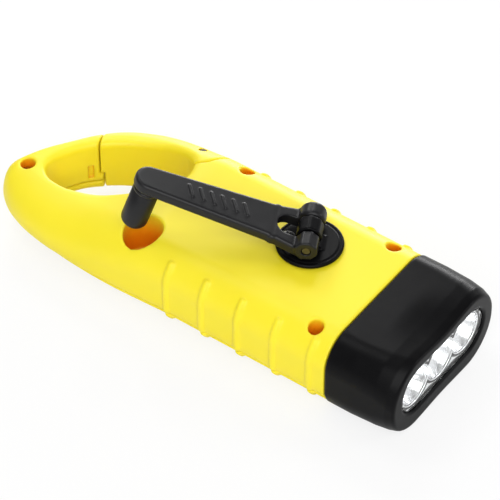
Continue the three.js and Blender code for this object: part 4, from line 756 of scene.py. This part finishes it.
CUP_SLOPE = 0.45
CUP_BEND = 0.55
CUP_LEAN = 0.9
LAMP_BORE = 2.7
BEAD_RADIUS = 0.25
BEAD_INSET = 0.1
# Dark ring round the cups, painted shade for the shadowed sides of the cup rims, and the groove
# that holds it
SHADE_RING_RADIUS = CUP_MOUTH + 0.55
SHADE_RING_HALF = 0.25
SHADE_RING_DEPTH = 0.6
SHADE_RING_RISE = 0.15
GROOVE_SIDE_GAP = 0.05
GROOVE_END_GAP = 0.2
HOOD_TABLE = np.array([
    # share of the length, half width, top, bottom, corner
    (0, 1, 1, 0, 1), (0.02, 1.01, 1.008, 0, 1), (0.35, 1.01, 1.012, 0, 1),
    (0.7, 1.004, 1.018, 0, 1.08), (0.88, 1, 1.012, 0.002, 1.2), (1, 0.982, 0.99, 0.008, 1.3),
])
HOOD_EDGE = 0.8
WAIST_ABOVE = 0.11
WAIST_BELOW = 0.045
WAIST_WIDTH = 8.5
WAIST_LEAD = 8.0
MOUTH_WAIST = 0.5
MOUTH_BEVEL = 0.5


def window_section(g, grow, z=None):
    """Section of the window with its round ends, grown by a length."""
    z = g.z if z is None else z
    radius = WINDOW_RADIUS + grow
    flat = np.maximum(np.abs(g.y) - (WINDOW_HALF + grow - radius), 0)
    return np.hypot(flat, z - LAMP_HEIGHT) - radius


def waisted(g, share=1.0):
    """Height as seen by the hood's front, whose middle is pinched above and below."""
    bell = np.exp(-(g.y / WAIST_WIDTH) ** 2)
    ramp = step_up(g.x, HOOD_REAR + WAIST_LEAD, HOOD_FRONT)
    away = g.z - LAMP_HEIGHT
    return LAMP_HEIGHT + away * (1 + share * np.where(away > 0, WAIST_ABOVE, WAIST_BELOW)
                                 * bell * ramp)


def build_hood():
    g = Grid((22.5, -25.5, -1), (46.5, 25.5, 27), step=0.3)
    along = (g.x.ravel() - HOOD_REAR) / (HOOD_FRONT - HOOD_REAR)
    width, top, bottom, corner = (
        np.interp(along, HOOD_TABLE[:, 0], HOOD_TABLE[:, k])[:, None, None].astype(np.float32)
        for k in (1, 2, 3, 4))
    half = width * CASE_HALF_WIDTH
    corner = corner * CASE_CORNER
    skin = profile_section(g, half, -half, top * CASE_HEIGHT, bottom * CASE_HEIGHT,
                           (corner, corner, corner), waisted(g), CASE_HEIGHT)
    hood = soft_both(evened(skin, g.step), g.x - HOOD_FRONT, HOOD_EDGE)
    hood = soft_both(hood, HOOD_REAR - g.x, blend=0.4)
    inside = both(window_section(g, POCKET_MARGIN), g.x - LIP_BACK)
    mouth = window_section(g, 0, waisted(g, MOUTH_WAIST))
    bevel = np.maximum(g.x - HOOD_FRONT + MOUTH_BEVEL, 0)
    funnel = both(mouth - bevel, LIP_BACK - LIP_OVERLAP - g.x)
    socket = both(neck_section(g, SEAT_GAP, NECK_CORNER), g.x - CASE_FRONT - SOCKET_DEPTH)
    hood = less(soft_less(hood, funnel, blend=0.35), inside, socket)
    vertices, faces = skin_of(hood, g)
    add_piece("lamp_hood", vertices, faces, BLACK, "case", ("hood",), keep=0.5)


def build_lens():
    g = Grid((LENS_BACK - 1, -21, 4), (LENS_FRONT + 1.2, 21, 24), step=0.25)
    rim = window_section(g, -RUNNING_GAP)
    pinched = window_section(g, -RUNNING_GAP, waisted(g, MOUTH_WAIST))
    lens = soft_both(both(rim, pinched), slab(g.x, LENS_BACK, LENS_FRONT), blend=0.3)
    vertices, faces = skin_of(lens, g)
    add_piece("window_lens", vertices, faces, LENS, "case", ("front_lens",), keep=0.3)


def cup_radius(x):
    """Radius of a reflector cup at each place along its axis."""
    share = np.clip((x - CUP_FLOOR) / (REFLECTOR_FRONT - CUP_FLOOR), 0, 1)
    widening = (np.sqrt(CUP_SLOPE**2 + 4 * CUP_BEND * share) - CUP_SLOPE) / (2 * CUP_BEND)
    return CUP_ROOT + (CUP_MOUTH - CUP_ROOT) * widening


def build_reflector():
    g = Grid((REFLECTOR_BACK - 0.8, -21.2, 4.4), (REFLECTOR_FRONT + 0.8, 21.2, 23),
             step=0.2)
    body = both(window_section(g, REFLECTOR_MARGIN),
                slab(g.x, REFLECTOR_BACK, REFLECTOR_FRONT))
    for i in (-1, 0, 1):
        out = np.hypot(g.y - i * LAMP_PITCH, g.z - LAMP_HEIGHT)
        cup = both((out - cup_radius(g.x)) * CUP_LEAN, CUP_FLOOR - g.x)
        body = less(soft_less(body, cup, blend=0.25), out - LAMP_BORE)
    # Each cup gets a groove for the dark ring of painted shade, and a bead on its mouth
    for own_half, out in cup_halves(g):
        groove = both(np.abs(out - SHADE_RING_RADIUS) - SHADE_RING_HALF - GROOVE_SIDE_GAP,
                      REFLECTOR_FRONT - SHADE_RING_DEPTH - GROOVE_END_GAP - g.x)
        bead = np.hypot(out - CUP_MOUTH, g.x - REFLECTOR_FRONT + BEAD_INSET) - BEAD_RADIUS
        body = either(less(body, both(groove, own_half)), both(bead, own_half))
    vertices, faces = skin_of(body, g)
    add_piece("lamp_reflector", vertices, faces, BRIGHT, "case", ("reflector",), keep=0.7)


def cup_halves(g):
    """For each cup the space nearer to it than to the others, and the distance from its axis."""
    for i in (-1, 0, 1):
        across = g.y - i * LAMP_PITCH
        reach = np.abs(across) if i == 0 else -i * across
        yield reach - LAMP_PITCH / 2, np.hypot(across, g.z - LAMP_HEIGHT)


def build_painted_shade_ring():
    """Dark ring in the groove round the three cups: painted shade for the shadowed sides of the cup
    rims.
    """
    g = Grid((REFLECTOR_FRONT - SHADE_RING_DEPTH - 0.5, -19.5, 5), (REFLECTOR_FRONT + 0.6, 19.5, 21.5),
             step=0.15)
    rings = [both(np.abs(out - SHADE_RING_RADIUS) - SHADE_RING_HALF, own_half)
             for own_half, out in cup_halves(g)]
    depth = slab(g.x, REFLECTOR_FRONT - SHADE_RING_DEPTH, REFLECTOR_FRONT + SHADE_RING_RISE)
    seal = soft_both(either(*rings), depth, blend=0.15)
    vertices, faces = skin_of(seal, g)
    add_piece("lamp_painted_shade_ring", vertices, faces, BLACK, "case", keep=0.6)


def turned(profile, place, steps):
    """Closed turned shape from radius and height pairs, from pole to pole."""
    rings, faces = [], []
    for radius, height in profile[1:-1]:
        rings.append([place(radius * math.cos(a), radius * math.sin(a), height)
                      for a in np.arange(steps) * 2 * math.pi / steps])
    vertices = [p for ring in rings for p in ring]
    for r in range(len(rings) - 1):
        for i in range(steps):
            j = (i + 1) % steps
            a, b = r * steps, (r + 1) * steps
            faces.append((a + i, a + j, b + j, b + i))
    low, high = len(vertices), len(vertices) + 1
    vertices += [place(0, 0, profile[0][1]), place(0, 0, profile[-1][1])]
    last = (len(rings) - 1) * steps
    for i in range(steps):
        j = (i + 1) % steps
        faces.append((low, j, i))
        faces.append((high, last + i, last + j))
    return vertices, faces


def arc(center, radius, start, end, count):
    """Radius and height pairs on an arc round a point."""
    return [(center[0] + radius * math.cos(a), center[1] + radius * math.sin(a))
            for a in np.linspace(start, end, count)]


LAMP_FLANGE = 0.9
LAMP_BASE = REFLECTOR_BACK - SEAT_GAP - LAMP_FLANGE
LAMP_RADIUS = 2.5
LAMP_SHOULDER = 5.3
# radius and height pairs
LAMP_PROFILE = [(0, 0), (2.6, 0), (2.8, 0.2), (2.8, 0.8), (2.6, LAMP_FLANGE), (LAMP_RADIUS, 1),
                *arc((0, LAMP_SHOULDER), LAMP_RADIUS, 0, math.pi / 2, 12)[:-1],
                (0, LAMP_SHOULDER + LAMP_RADIUS)]
LAMP_CUP_PROFILE = [(0, 2.2), (1.0, 2.2), (1.25, 3.6), (1.1, 3.65), (0.5, 3.3), (0, 3.3)]
LAMP_CHIP_PROFILE = [(0, 3.35), (0.55, 3.35), (0.6, 3.6), (0.4, 3.75), (0, 3.8)]


def build_lamps():
    for i in (1, 2, 3):
        y = (i - 2) * LAMP_PITCH

        def place(u, v, h, y=y):
            return (LAMP_BASE + h, y + u, LAMP_HEIGHT + v)

        add_piece(f"lamp_{i}", *turned(LAMP_PROFILE, place, steps=40), RESIN, "case", (f"led_{i}",))
        add_piece(f"lamp_cup_{i}", *turned(LAMP_CUP_PROFILE, place, steps=24), STEEL, "case")
        add_piece(f"lamp_chip_{i}", *turned(LAMP_CHIP_PROFILE, place, steps=20), RESIN_YELLOW,
                  "case")


build_hood()
build_lens()
build_reflector()
build_painted_shade_ring()
build_lamps()

# Crank, drawn flat with the hinge pin along Y
KNUCKLE_HALF = 2.6
KNUCKLE_GAP = 0.35
EAR_LENGTH = 5.1
EAR_INNER = KNUCKLE_HALF + KNUCKLE_GAP
EAR_OUTER = EAR_INNER + EAR_LENGTH
NEAR_EAR = 3.1
FAR_EAR = 3.7
FLAT_SHARE = 0.965
PIN_BORE = 1.3
ARM_BOTTOM = ARM_CLEARANCE - PIN_HEIGHT
ARM_THICKNESS = 3.3
ARM_TOP = ARM_BOTTOM + ARM_THICKNESS
ARM_ROOT = 9.5
ARM_ROOT_HALF = 6.0
ARM_END_RADIUS = 4.2
SHOULDER = (0.4, 9.8)
SHOULDER_SLOPE = 0.215
BAR_COUNT = 6
BAR_FIRST = 18.0
BAR_PITCH = 3.1
BAR_TILT = math.radians(24)
BAR_HALF = (0.42, 2.3)
BAR_ROUND = 0.4
BAR_SINK = 1.0
BAR_RISE = 0.4
ARM_GAP_FRONT = 5.6
ARM_WINDOW_AT = 3.9
ARM_WINDOW_HALF = (5.1, 3.3)
ARM_WINDOW_CORNER = 3.2
ARM_WINDOW_REAR = 2.4
KNOB_PIN_BORE = 1.6
KNOB_PIN_DEPTH = 2.5
KNOB_BORE_TOP = 11.3


def drum(g, radius, y0, y1, z=0.0, flats=0, blend=0.5):
    """Barrel along Y, with a number of flat sides."""
    round_part = np.hypot(g.x, g.z - z) - radius
    for k in range(flats):
        angle = 2 * math.pi * (k + 0.5) / flats
        flat = g.x * math.cos(angle) + (g.z - z) * math.sin(angle) - radius * FLAT_SHARE
        round_part = np.maximum(round_part, flat)
    return soft_both(round_part, slab(g.y, y0, y1), blend)


def arm_plan(g):
    """Tapered plan of the arm with its shoulders at the hinge."""
    slope = math.atan2(ARM_ROOT_HALF - ARM_END_RADIUS, KNOB_REACH - ARM_ROOT)
    side = ((np.abs(g.y) - ARM_ROOT_HALF) * math.cos(slope)
            + (g.x - ARM_ROOT) * math.sin(slope))
    end = np.hypot(g.x - KNOB_REACH, g.y) - ARM_END_RADIUS
    body = np.where(g.x > KNOB_REACH, end, both(side, ARM_ROOT - g.x))
    root = both(np.abs(g.y) - EAR_OUTER + SHOULDER_SLOPE * np.maximum(g.x, 0),
                slab(g.x, *SHOULDER))
    return soft_either(body, root, blend=1.6)


def build_arm():
    g = Grid((-5, -9.2, -5), (50.5, 9.2, 5), step=0.22)
    plate = soft_both(arm_plan(g), slab(g.z, ARM_BOTTOM, ARM_TOP), blend=1.0)
    ears = either(drum(g, NEAR_EAR, EAR_INNER, EAR_OUTER, flats=8),
                  drum(g, FAR_EAR, -EAR_OUTER, -EAR_INNER, blend=1.4))
    arm = soft_either(plate, ears, blend=0.8)
    for i in range(BAR_COUNT):
        u = g.x - BAR_FIRST - i * BAR_PITCH
        across = u * math.cos(BAR_TILT) + g.y * math.sin(BAR_TILT)
        along = g.y * math.cos(BAR_TILT) - u * math.sin(BAR_TILT)
        bar = both(rounded_box(across, along, *BAR_HALF, BAR_ROUND),
                   slab(g.z, ARM_TOP - BAR_SINK, ARM_TOP + BAR_RISE))
        arm = soft_either(arm, bar, blend=0.3)
    gap = both(g.x - ARM_GAP_FRONT, np.abs(g.y) - EAR_INNER)
    window = both(rounded_box(g.x - ARM_WINDOW_AT, g.y, *ARM_WINDOW_HALF, ARM_WINDOW_CORNER),
                  ARM_WINDOW_REAR - g.x)
    arm = soft_less(less(arm, gap), window, blend=0.3)
    pin = np.hypot(g.x, g.z) - PIN_BORE
    knob_pin = both(np.hypot(g.x - KNOB_REACH, g.y) - KNOB_PIN_BORE,
                    g.z - ARM_BOTTOM - KNOB_PIN_DEPTH)
    vertices, faces = skin_of(less(arm, pin, knob_pin), g)
    add_piece("arm", vertices, faces, ARM_BLACK, "arm", ("crank_arm",), ARM_FRAME, keep=0.5)


def build_knob():
    top = ARM_BOTTOM - SEAT_GAP
    bottom = ARM_BOTTOM - KNOB_LENGTH
    rim = KNOB_RADIUS - KNOB_TIP
    profile = [(0, bottom), (rim, bottom)]
    profile += arc((rim, bottom + KNOB_TIP), KNOB_TIP, -math.pi / 2, 0, 10)[1:]
    # inward and down from the top edge: a fine groove, then the rounded top
    for inward, down in ((0, 1.4), (0.12, 1.3), (0.12, 1.0), (0, 0.9), (0, 0.45),
                         (0.15, 0.15), (0.5, 0)):
        profile.append((KNOB_RADIUS - inward, top - down))
    bore_end = ARM_BOTTOM - KNOB_BORE_TOP
    profile += [(KNOB_PIN_BORE, top), (KNOB_PIN_BORE, bore_end), (0, bore_end)]

    def place(u, v, h):
        return (KNOB_REACH + u, v, h)

    add_piece("crank_knob", *turned(profile, place, steps=56), ARM_BLACK, "knob", ("knob",),
              ARM_FRAME)


HUB_BASE = CASE_HEIGHT + SEAT_GAP
HUB_BORE = (2.2, HUB_BASE - 3, HUB_BASE + 3)
HUB_RING_INSET = 1.1
HUB_RING_HALF = 0.22
HUB_RING_DEPTH = 0.2
KNUCKLE_RADIUS = 3.5
FOOT_REAR = -2.1
FOOT_SINK = 0.6
HEEL_AT = (-3.0, HUB_TOP + 1.2)
HEEL_SLOPE = (0.8, 0.6)
HEEL_SINK = 0.5
HUB_SCREW_AT = 6.1
HUB_SCREW_BORE = (1.4, HUB_TOP - 0.9, HUB_TOP + 3)


def build_hub():
    g = Grid((-10.2, -10.2, HUB_BASE - 1), (10.2, 10.2, PIN_LEVEL + 4.5), step=0.2)
    out = np.hypot(g.x, g.y) - HUB_RADIUS
    disc = soft_both(out, slab(g.z, HUB_BASE, HUB_TOP), blend=0.7)
    ring = both(np.abs(out + HUB_RING_INSET) - HUB_RING_HALF, HUB_TOP - HUB_RING_DEPTH - g.z)
    disc = soft_less(disc, ring, blend=0.25)
    knuckle = drum(g, KNUCKLE_RADIUS, -KNUCKLE_HALF, KNUCKLE_HALF, PIN_LEVEL, flats=8)
    middle = slab(g.y, -KNUCKLE_HALF, KNUCKLE_HALF)
    foot = both(slab(g.x, FOOT_REAR, KNUCKLE_RADIUS), middle,
                slab(g.z, HUB_TOP - FOOT_SINK, PIN_LEVEL))
    heel = both(middle, HUB_TOP - HEEL_SINK - g.z, g.x,
                (HEEL_AT[0] - g.x) * HEEL_SLOPE[0] + (g.z - HEEL_AT[1]) * HEEL_SLOPE[1])
    hub = soft_either(disc, either(knuckle, foot, heel), blend=0.6)
    cutters = [
        both(np.hypot(g.x, g.z - PIN_LEVEL) - PIN_BORE, slab(g.y, -9, 9)),
        post(g, 0, 0, *HUB_BORE),
        post(g, HUB_SCREW_AT, 0, *HUB_SCREW_BORE),
    ]
    vertices, faces = skin_of(less(hub, *cutters), g)
    add_piece("hub", vertices, faces, BLACK, "crank", ("crank_hub",), CRANK_FRAME, keep=0.5)


HEAD_GAP = 0.1
HEAD_RADIUS = 2.5
HEAD_HEIGHT = 1.7
SHANK_RADIUS = 1.2
SHANK_ENDS = (0.6, 0.5)
SLOT_HALF = 0.35
SLOT_FLOOR = 0.95


def build_hub_screw():
    seat = HUB_TOP + HEAD_GAP
    g = Grid((3, -3, HUB_TOP - 1.5), (9.2, 3, HUB_TOP + 2.6), step=0.12)
    out = np.hypot(g.x - HUB_SCREW_AT, g.y)
    dome = both(np.hypot(out / HEAD_RADIUS, (g.z - seat) / HEAD_HEIGHT) - 1,
                (seat - g.z) / HEAD_HEIGHT) * HEAD_HEIGHT
    shank = both(out - SHANK_RADIUS, slab(g.z, HUB_TOP - SHANK_ENDS[0], seat + SHANK_ENDS[1]))
    slot = both(np.abs(g.x - HUB_SCREW_AT) - SLOT_HALF, seat + SLOT_FLOOR - g.z)
    vertices, faces = skin_of(less(either(dome, shank), slot), g)
    add_piece("slotted_screw", vertices, faces, ARM_BLACK, "crank", ("hub_screw",), CRANK_FRAME,
              keep=0.5)


def build_button():
    g = Grid((-5.5, 19.5, 8), (7.5, 26.6, 19), step=0.2)
    stem = button_section(g, BUTTON_HALF, BUTTON_CORNER)
    stem = soft_both(stem, slab(g.y, BUTTON_BACK, BUTTON_FACE), blend=0.7)
    flange = both(button_section(g, BUTTON_FLANGE_HALF, BUTTON_CORNER),
                  slab(g.y, BUTTON_BACK, BUTTON_FLANGE_FRONT))
    away = (g.x - BUTTON_AT[0]) ** 2 + (g.z - BUTTON_AT[1]) ** 2
    ahead = g.y - BUTTON_FACE - DISH_RADIUS + DISH_DEPTH
    dish = np.sqrt(away + ahead**2) - DISH_RADIUS
    button = soft_less(either(stem, flange), dish, blend=0.3)
    vertices, faces = skin_of(button, g)
    add_piece("push_button", vertices, faces, BLACK, "button", ("power_button",), keep=0.5)


build_arm()
build_knob()
build_hub()
build_hub_screw()
build_button()


# Floor, light and camera, with places in metres and power in watts

FLOOR_HALF = 6.0
FLOOR_PAINT = (0.9, 0.9, 0.9)
FLOOR_WHITENESS = 0.8
LIGHT_ALL_ROUND = 0.33
WHITE = (1, 1, 1)


def seen_directly(nodes, links):
    """One for rays that come from the camera, also through the clear pieces."""
    path = nodes.new("ShaderNodeLightPath")
    highest = nodes.new("ShaderNodeMath")
    highest.operation = "MAXIMUM"
    links.new(path.outputs["Is Camera Ray"], highest.inputs[0])
    links.new(path.outputs["Is Transmission Ray"], highest.inputs[1])
    return highest.outputs[0]


def build_floor():
    corners = [(FLOOR_HALF * x, FLOOR_HALF * y, 0) for x, y in ((-1, -1), (1, -1), (1, 1), (-1, 1))]
    mesh = bpy.data.meshes.new("floor")
    mesh.from_pydata(corners, [], [(0, 1, 2, 3)])
    floor = bpy.data.objects.new("floor", mesh)
    bpy.context.scene.collection.objects.link(floor)
    look = bpy.data.materials.new("floor_white")
    look.use_nodes = True
    nodes, links = look.node_tree.nodes, look.node_tree.links
    nodes.clear()
    out = nodes.new("ShaderNodeOutputMaterial")
    base = nodes.new("ShaderNodeBsdfDiffuse")
    base.inputs["Color"].default_value = (*FLOOR_PAINT, 1)
    glow = nodes.new("ShaderNodeEmission")
    glow.inputs["Color"].default_value = (*WHITE, 1)
    amount = nodes.new("ShaderNodeMath")
    amount.operation = "MULTIPLY"
    amount.inputs[1].default_value = FLOOR_WHITENESS
    links.new(seen_directly(nodes, links), amount.inputs[0])
    mix = nodes.new("ShaderNodeMixShader")
    links.new(amount.outputs[0], mix.inputs["Fac"])
    links.new(base.outputs[0], mix.inputs[1])
    links.new(glow.outputs[0], mix.inputs[2])
    links.new(mix.outputs[0], out.inputs["Surface"])
    mesh.materials.append(look)


def add_light(name, place, target, size, power):
    data = bpy.data.lights.new(name, "AREA")
    data.shape = "RECTANGLE"
    data.size, data.size_y = size
    data.energy = power
    light = bpy.data.objects.new(name, data)
    light.location = place
    direction = Vector(target) - Vector(place)
    light.rotation_euler = direction.to_track_quat("-Z", "Y").to_euler()
    bpy.context.scene.collection.objects.link(light)


def build_world():
    """Soft light all round, and plain white for the camera."""
    world = bpy.data.worlds.new("studio")
    bpy.context.scene.world = world
    world.use_nodes = True
    nodes, links = world.node_tree.nodes, world.node_tree.links
    nodes.clear()
    out = nodes.new("ShaderNodeOutputWorld")
    base = nodes.new("ShaderNodeBackground")
    base.inputs["Color"].default_value = (*WHITE, 1)
    base.inputs["Strength"].default_value = LIGHT_ALL_ROUND
    white = nodes.new("ShaderNodeBackground")
    white.inputs["Color"].default_value = (*WHITE, 1)
    mix = nodes.new("ShaderNodeMixShader")
    links.new(seen_directly(nodes, links), mix.inputs["Fac"])
    links.new(base.outputs[0], mix.inputs[1])
    links.new(white.outputs[0], mix.inputs[2])
    links.new(mix.outputs[0], out.inputs["Surface"])


# Found by fitting the photograph's straight edges and round holes, in millimetres and degrees
CAMERA_TURN = 36.1
CAMERA_TILT = 45.5
CAMERA_DISTANCE = 800
CAMERA_TARGET = (0, 2.9, 28)
CAMERA_OFFSET = (16.24, 1.863)
CAMERA_LENS = 216.4
CAMERA_SENSOR = 36.0
NEAREST_SEEN = 0.05


def build_camera():
    turn, tilt = math.radians(CAMERA_TURN), math.radians(CAMERA_TILT)
    back = Vector((math.sin(turn) * math.cos(tilt), -math.cos(turn) * math.cos(tilt),
                   math.sin(tilt)))
    right = Vector((math.cos(turn), math.sin(turn), 0))
    up = back.cross(right)
    place = (Vector(CAMERA_TARGET) + CAMERA_DISTANCE * back - CAMERA_OFFSET[0] * right
             - CAMERA_OFFSET[1] * up)
    data = bpy.data.cameras.new("camera")
    data.lens = CAMERA_LENS
    data.sensor_width = CAMERA_SENSOR
    data.clip_start = NEAREST_SEEN
    camera = bpy.data.objects.new("camera", data)
    camera.matrix_world = Matrix.Translation(place * MM) @ Matrix(
        (right, up, back)).transposed().to_4x4()
    bpy.context.scene.collection.objects.link(camera)
    bpy.context.scene.camera = camera


build_floor()
build_world()
# name, place, point that it looks at, width and height, power
add_light("key", (-0.39, 0.05, 0.85), (0, 0, 0.02), (0.3, 0.3), 1.1)
add_light("front_fill", (0.42, -0.57, 0.72), (0, 0, 0.02), (0.8, 0.8), 7.0)
add_light("near_fill", (0.15, -0.8, 0.33), (0, 0, 0.02), (0.5, 0.5), 0.5)
add_light("far_edge", (-0.42, 0.9, 0.2), (0, 0, 0.02), (0.7, 0.2), 6.0)
add_light("front_edge", (0.72, 0.57, 0.42), (0.04, 0, 0.02), (0.3, 0.3), 1.5)
add_light("front_sheen", (-0.09, 0.15, 0.22), (0.012, 0.005, 0.025), (0.06, 0.06), 0.07)
add_light("tail_sheen", (-0.2, 0.11, 0.2), (-0.088, 0, 0.018), (0.05, 0.05), 0.1)
build_camera()
bpy.context.scene.view_settings.view_transform = "Standard"
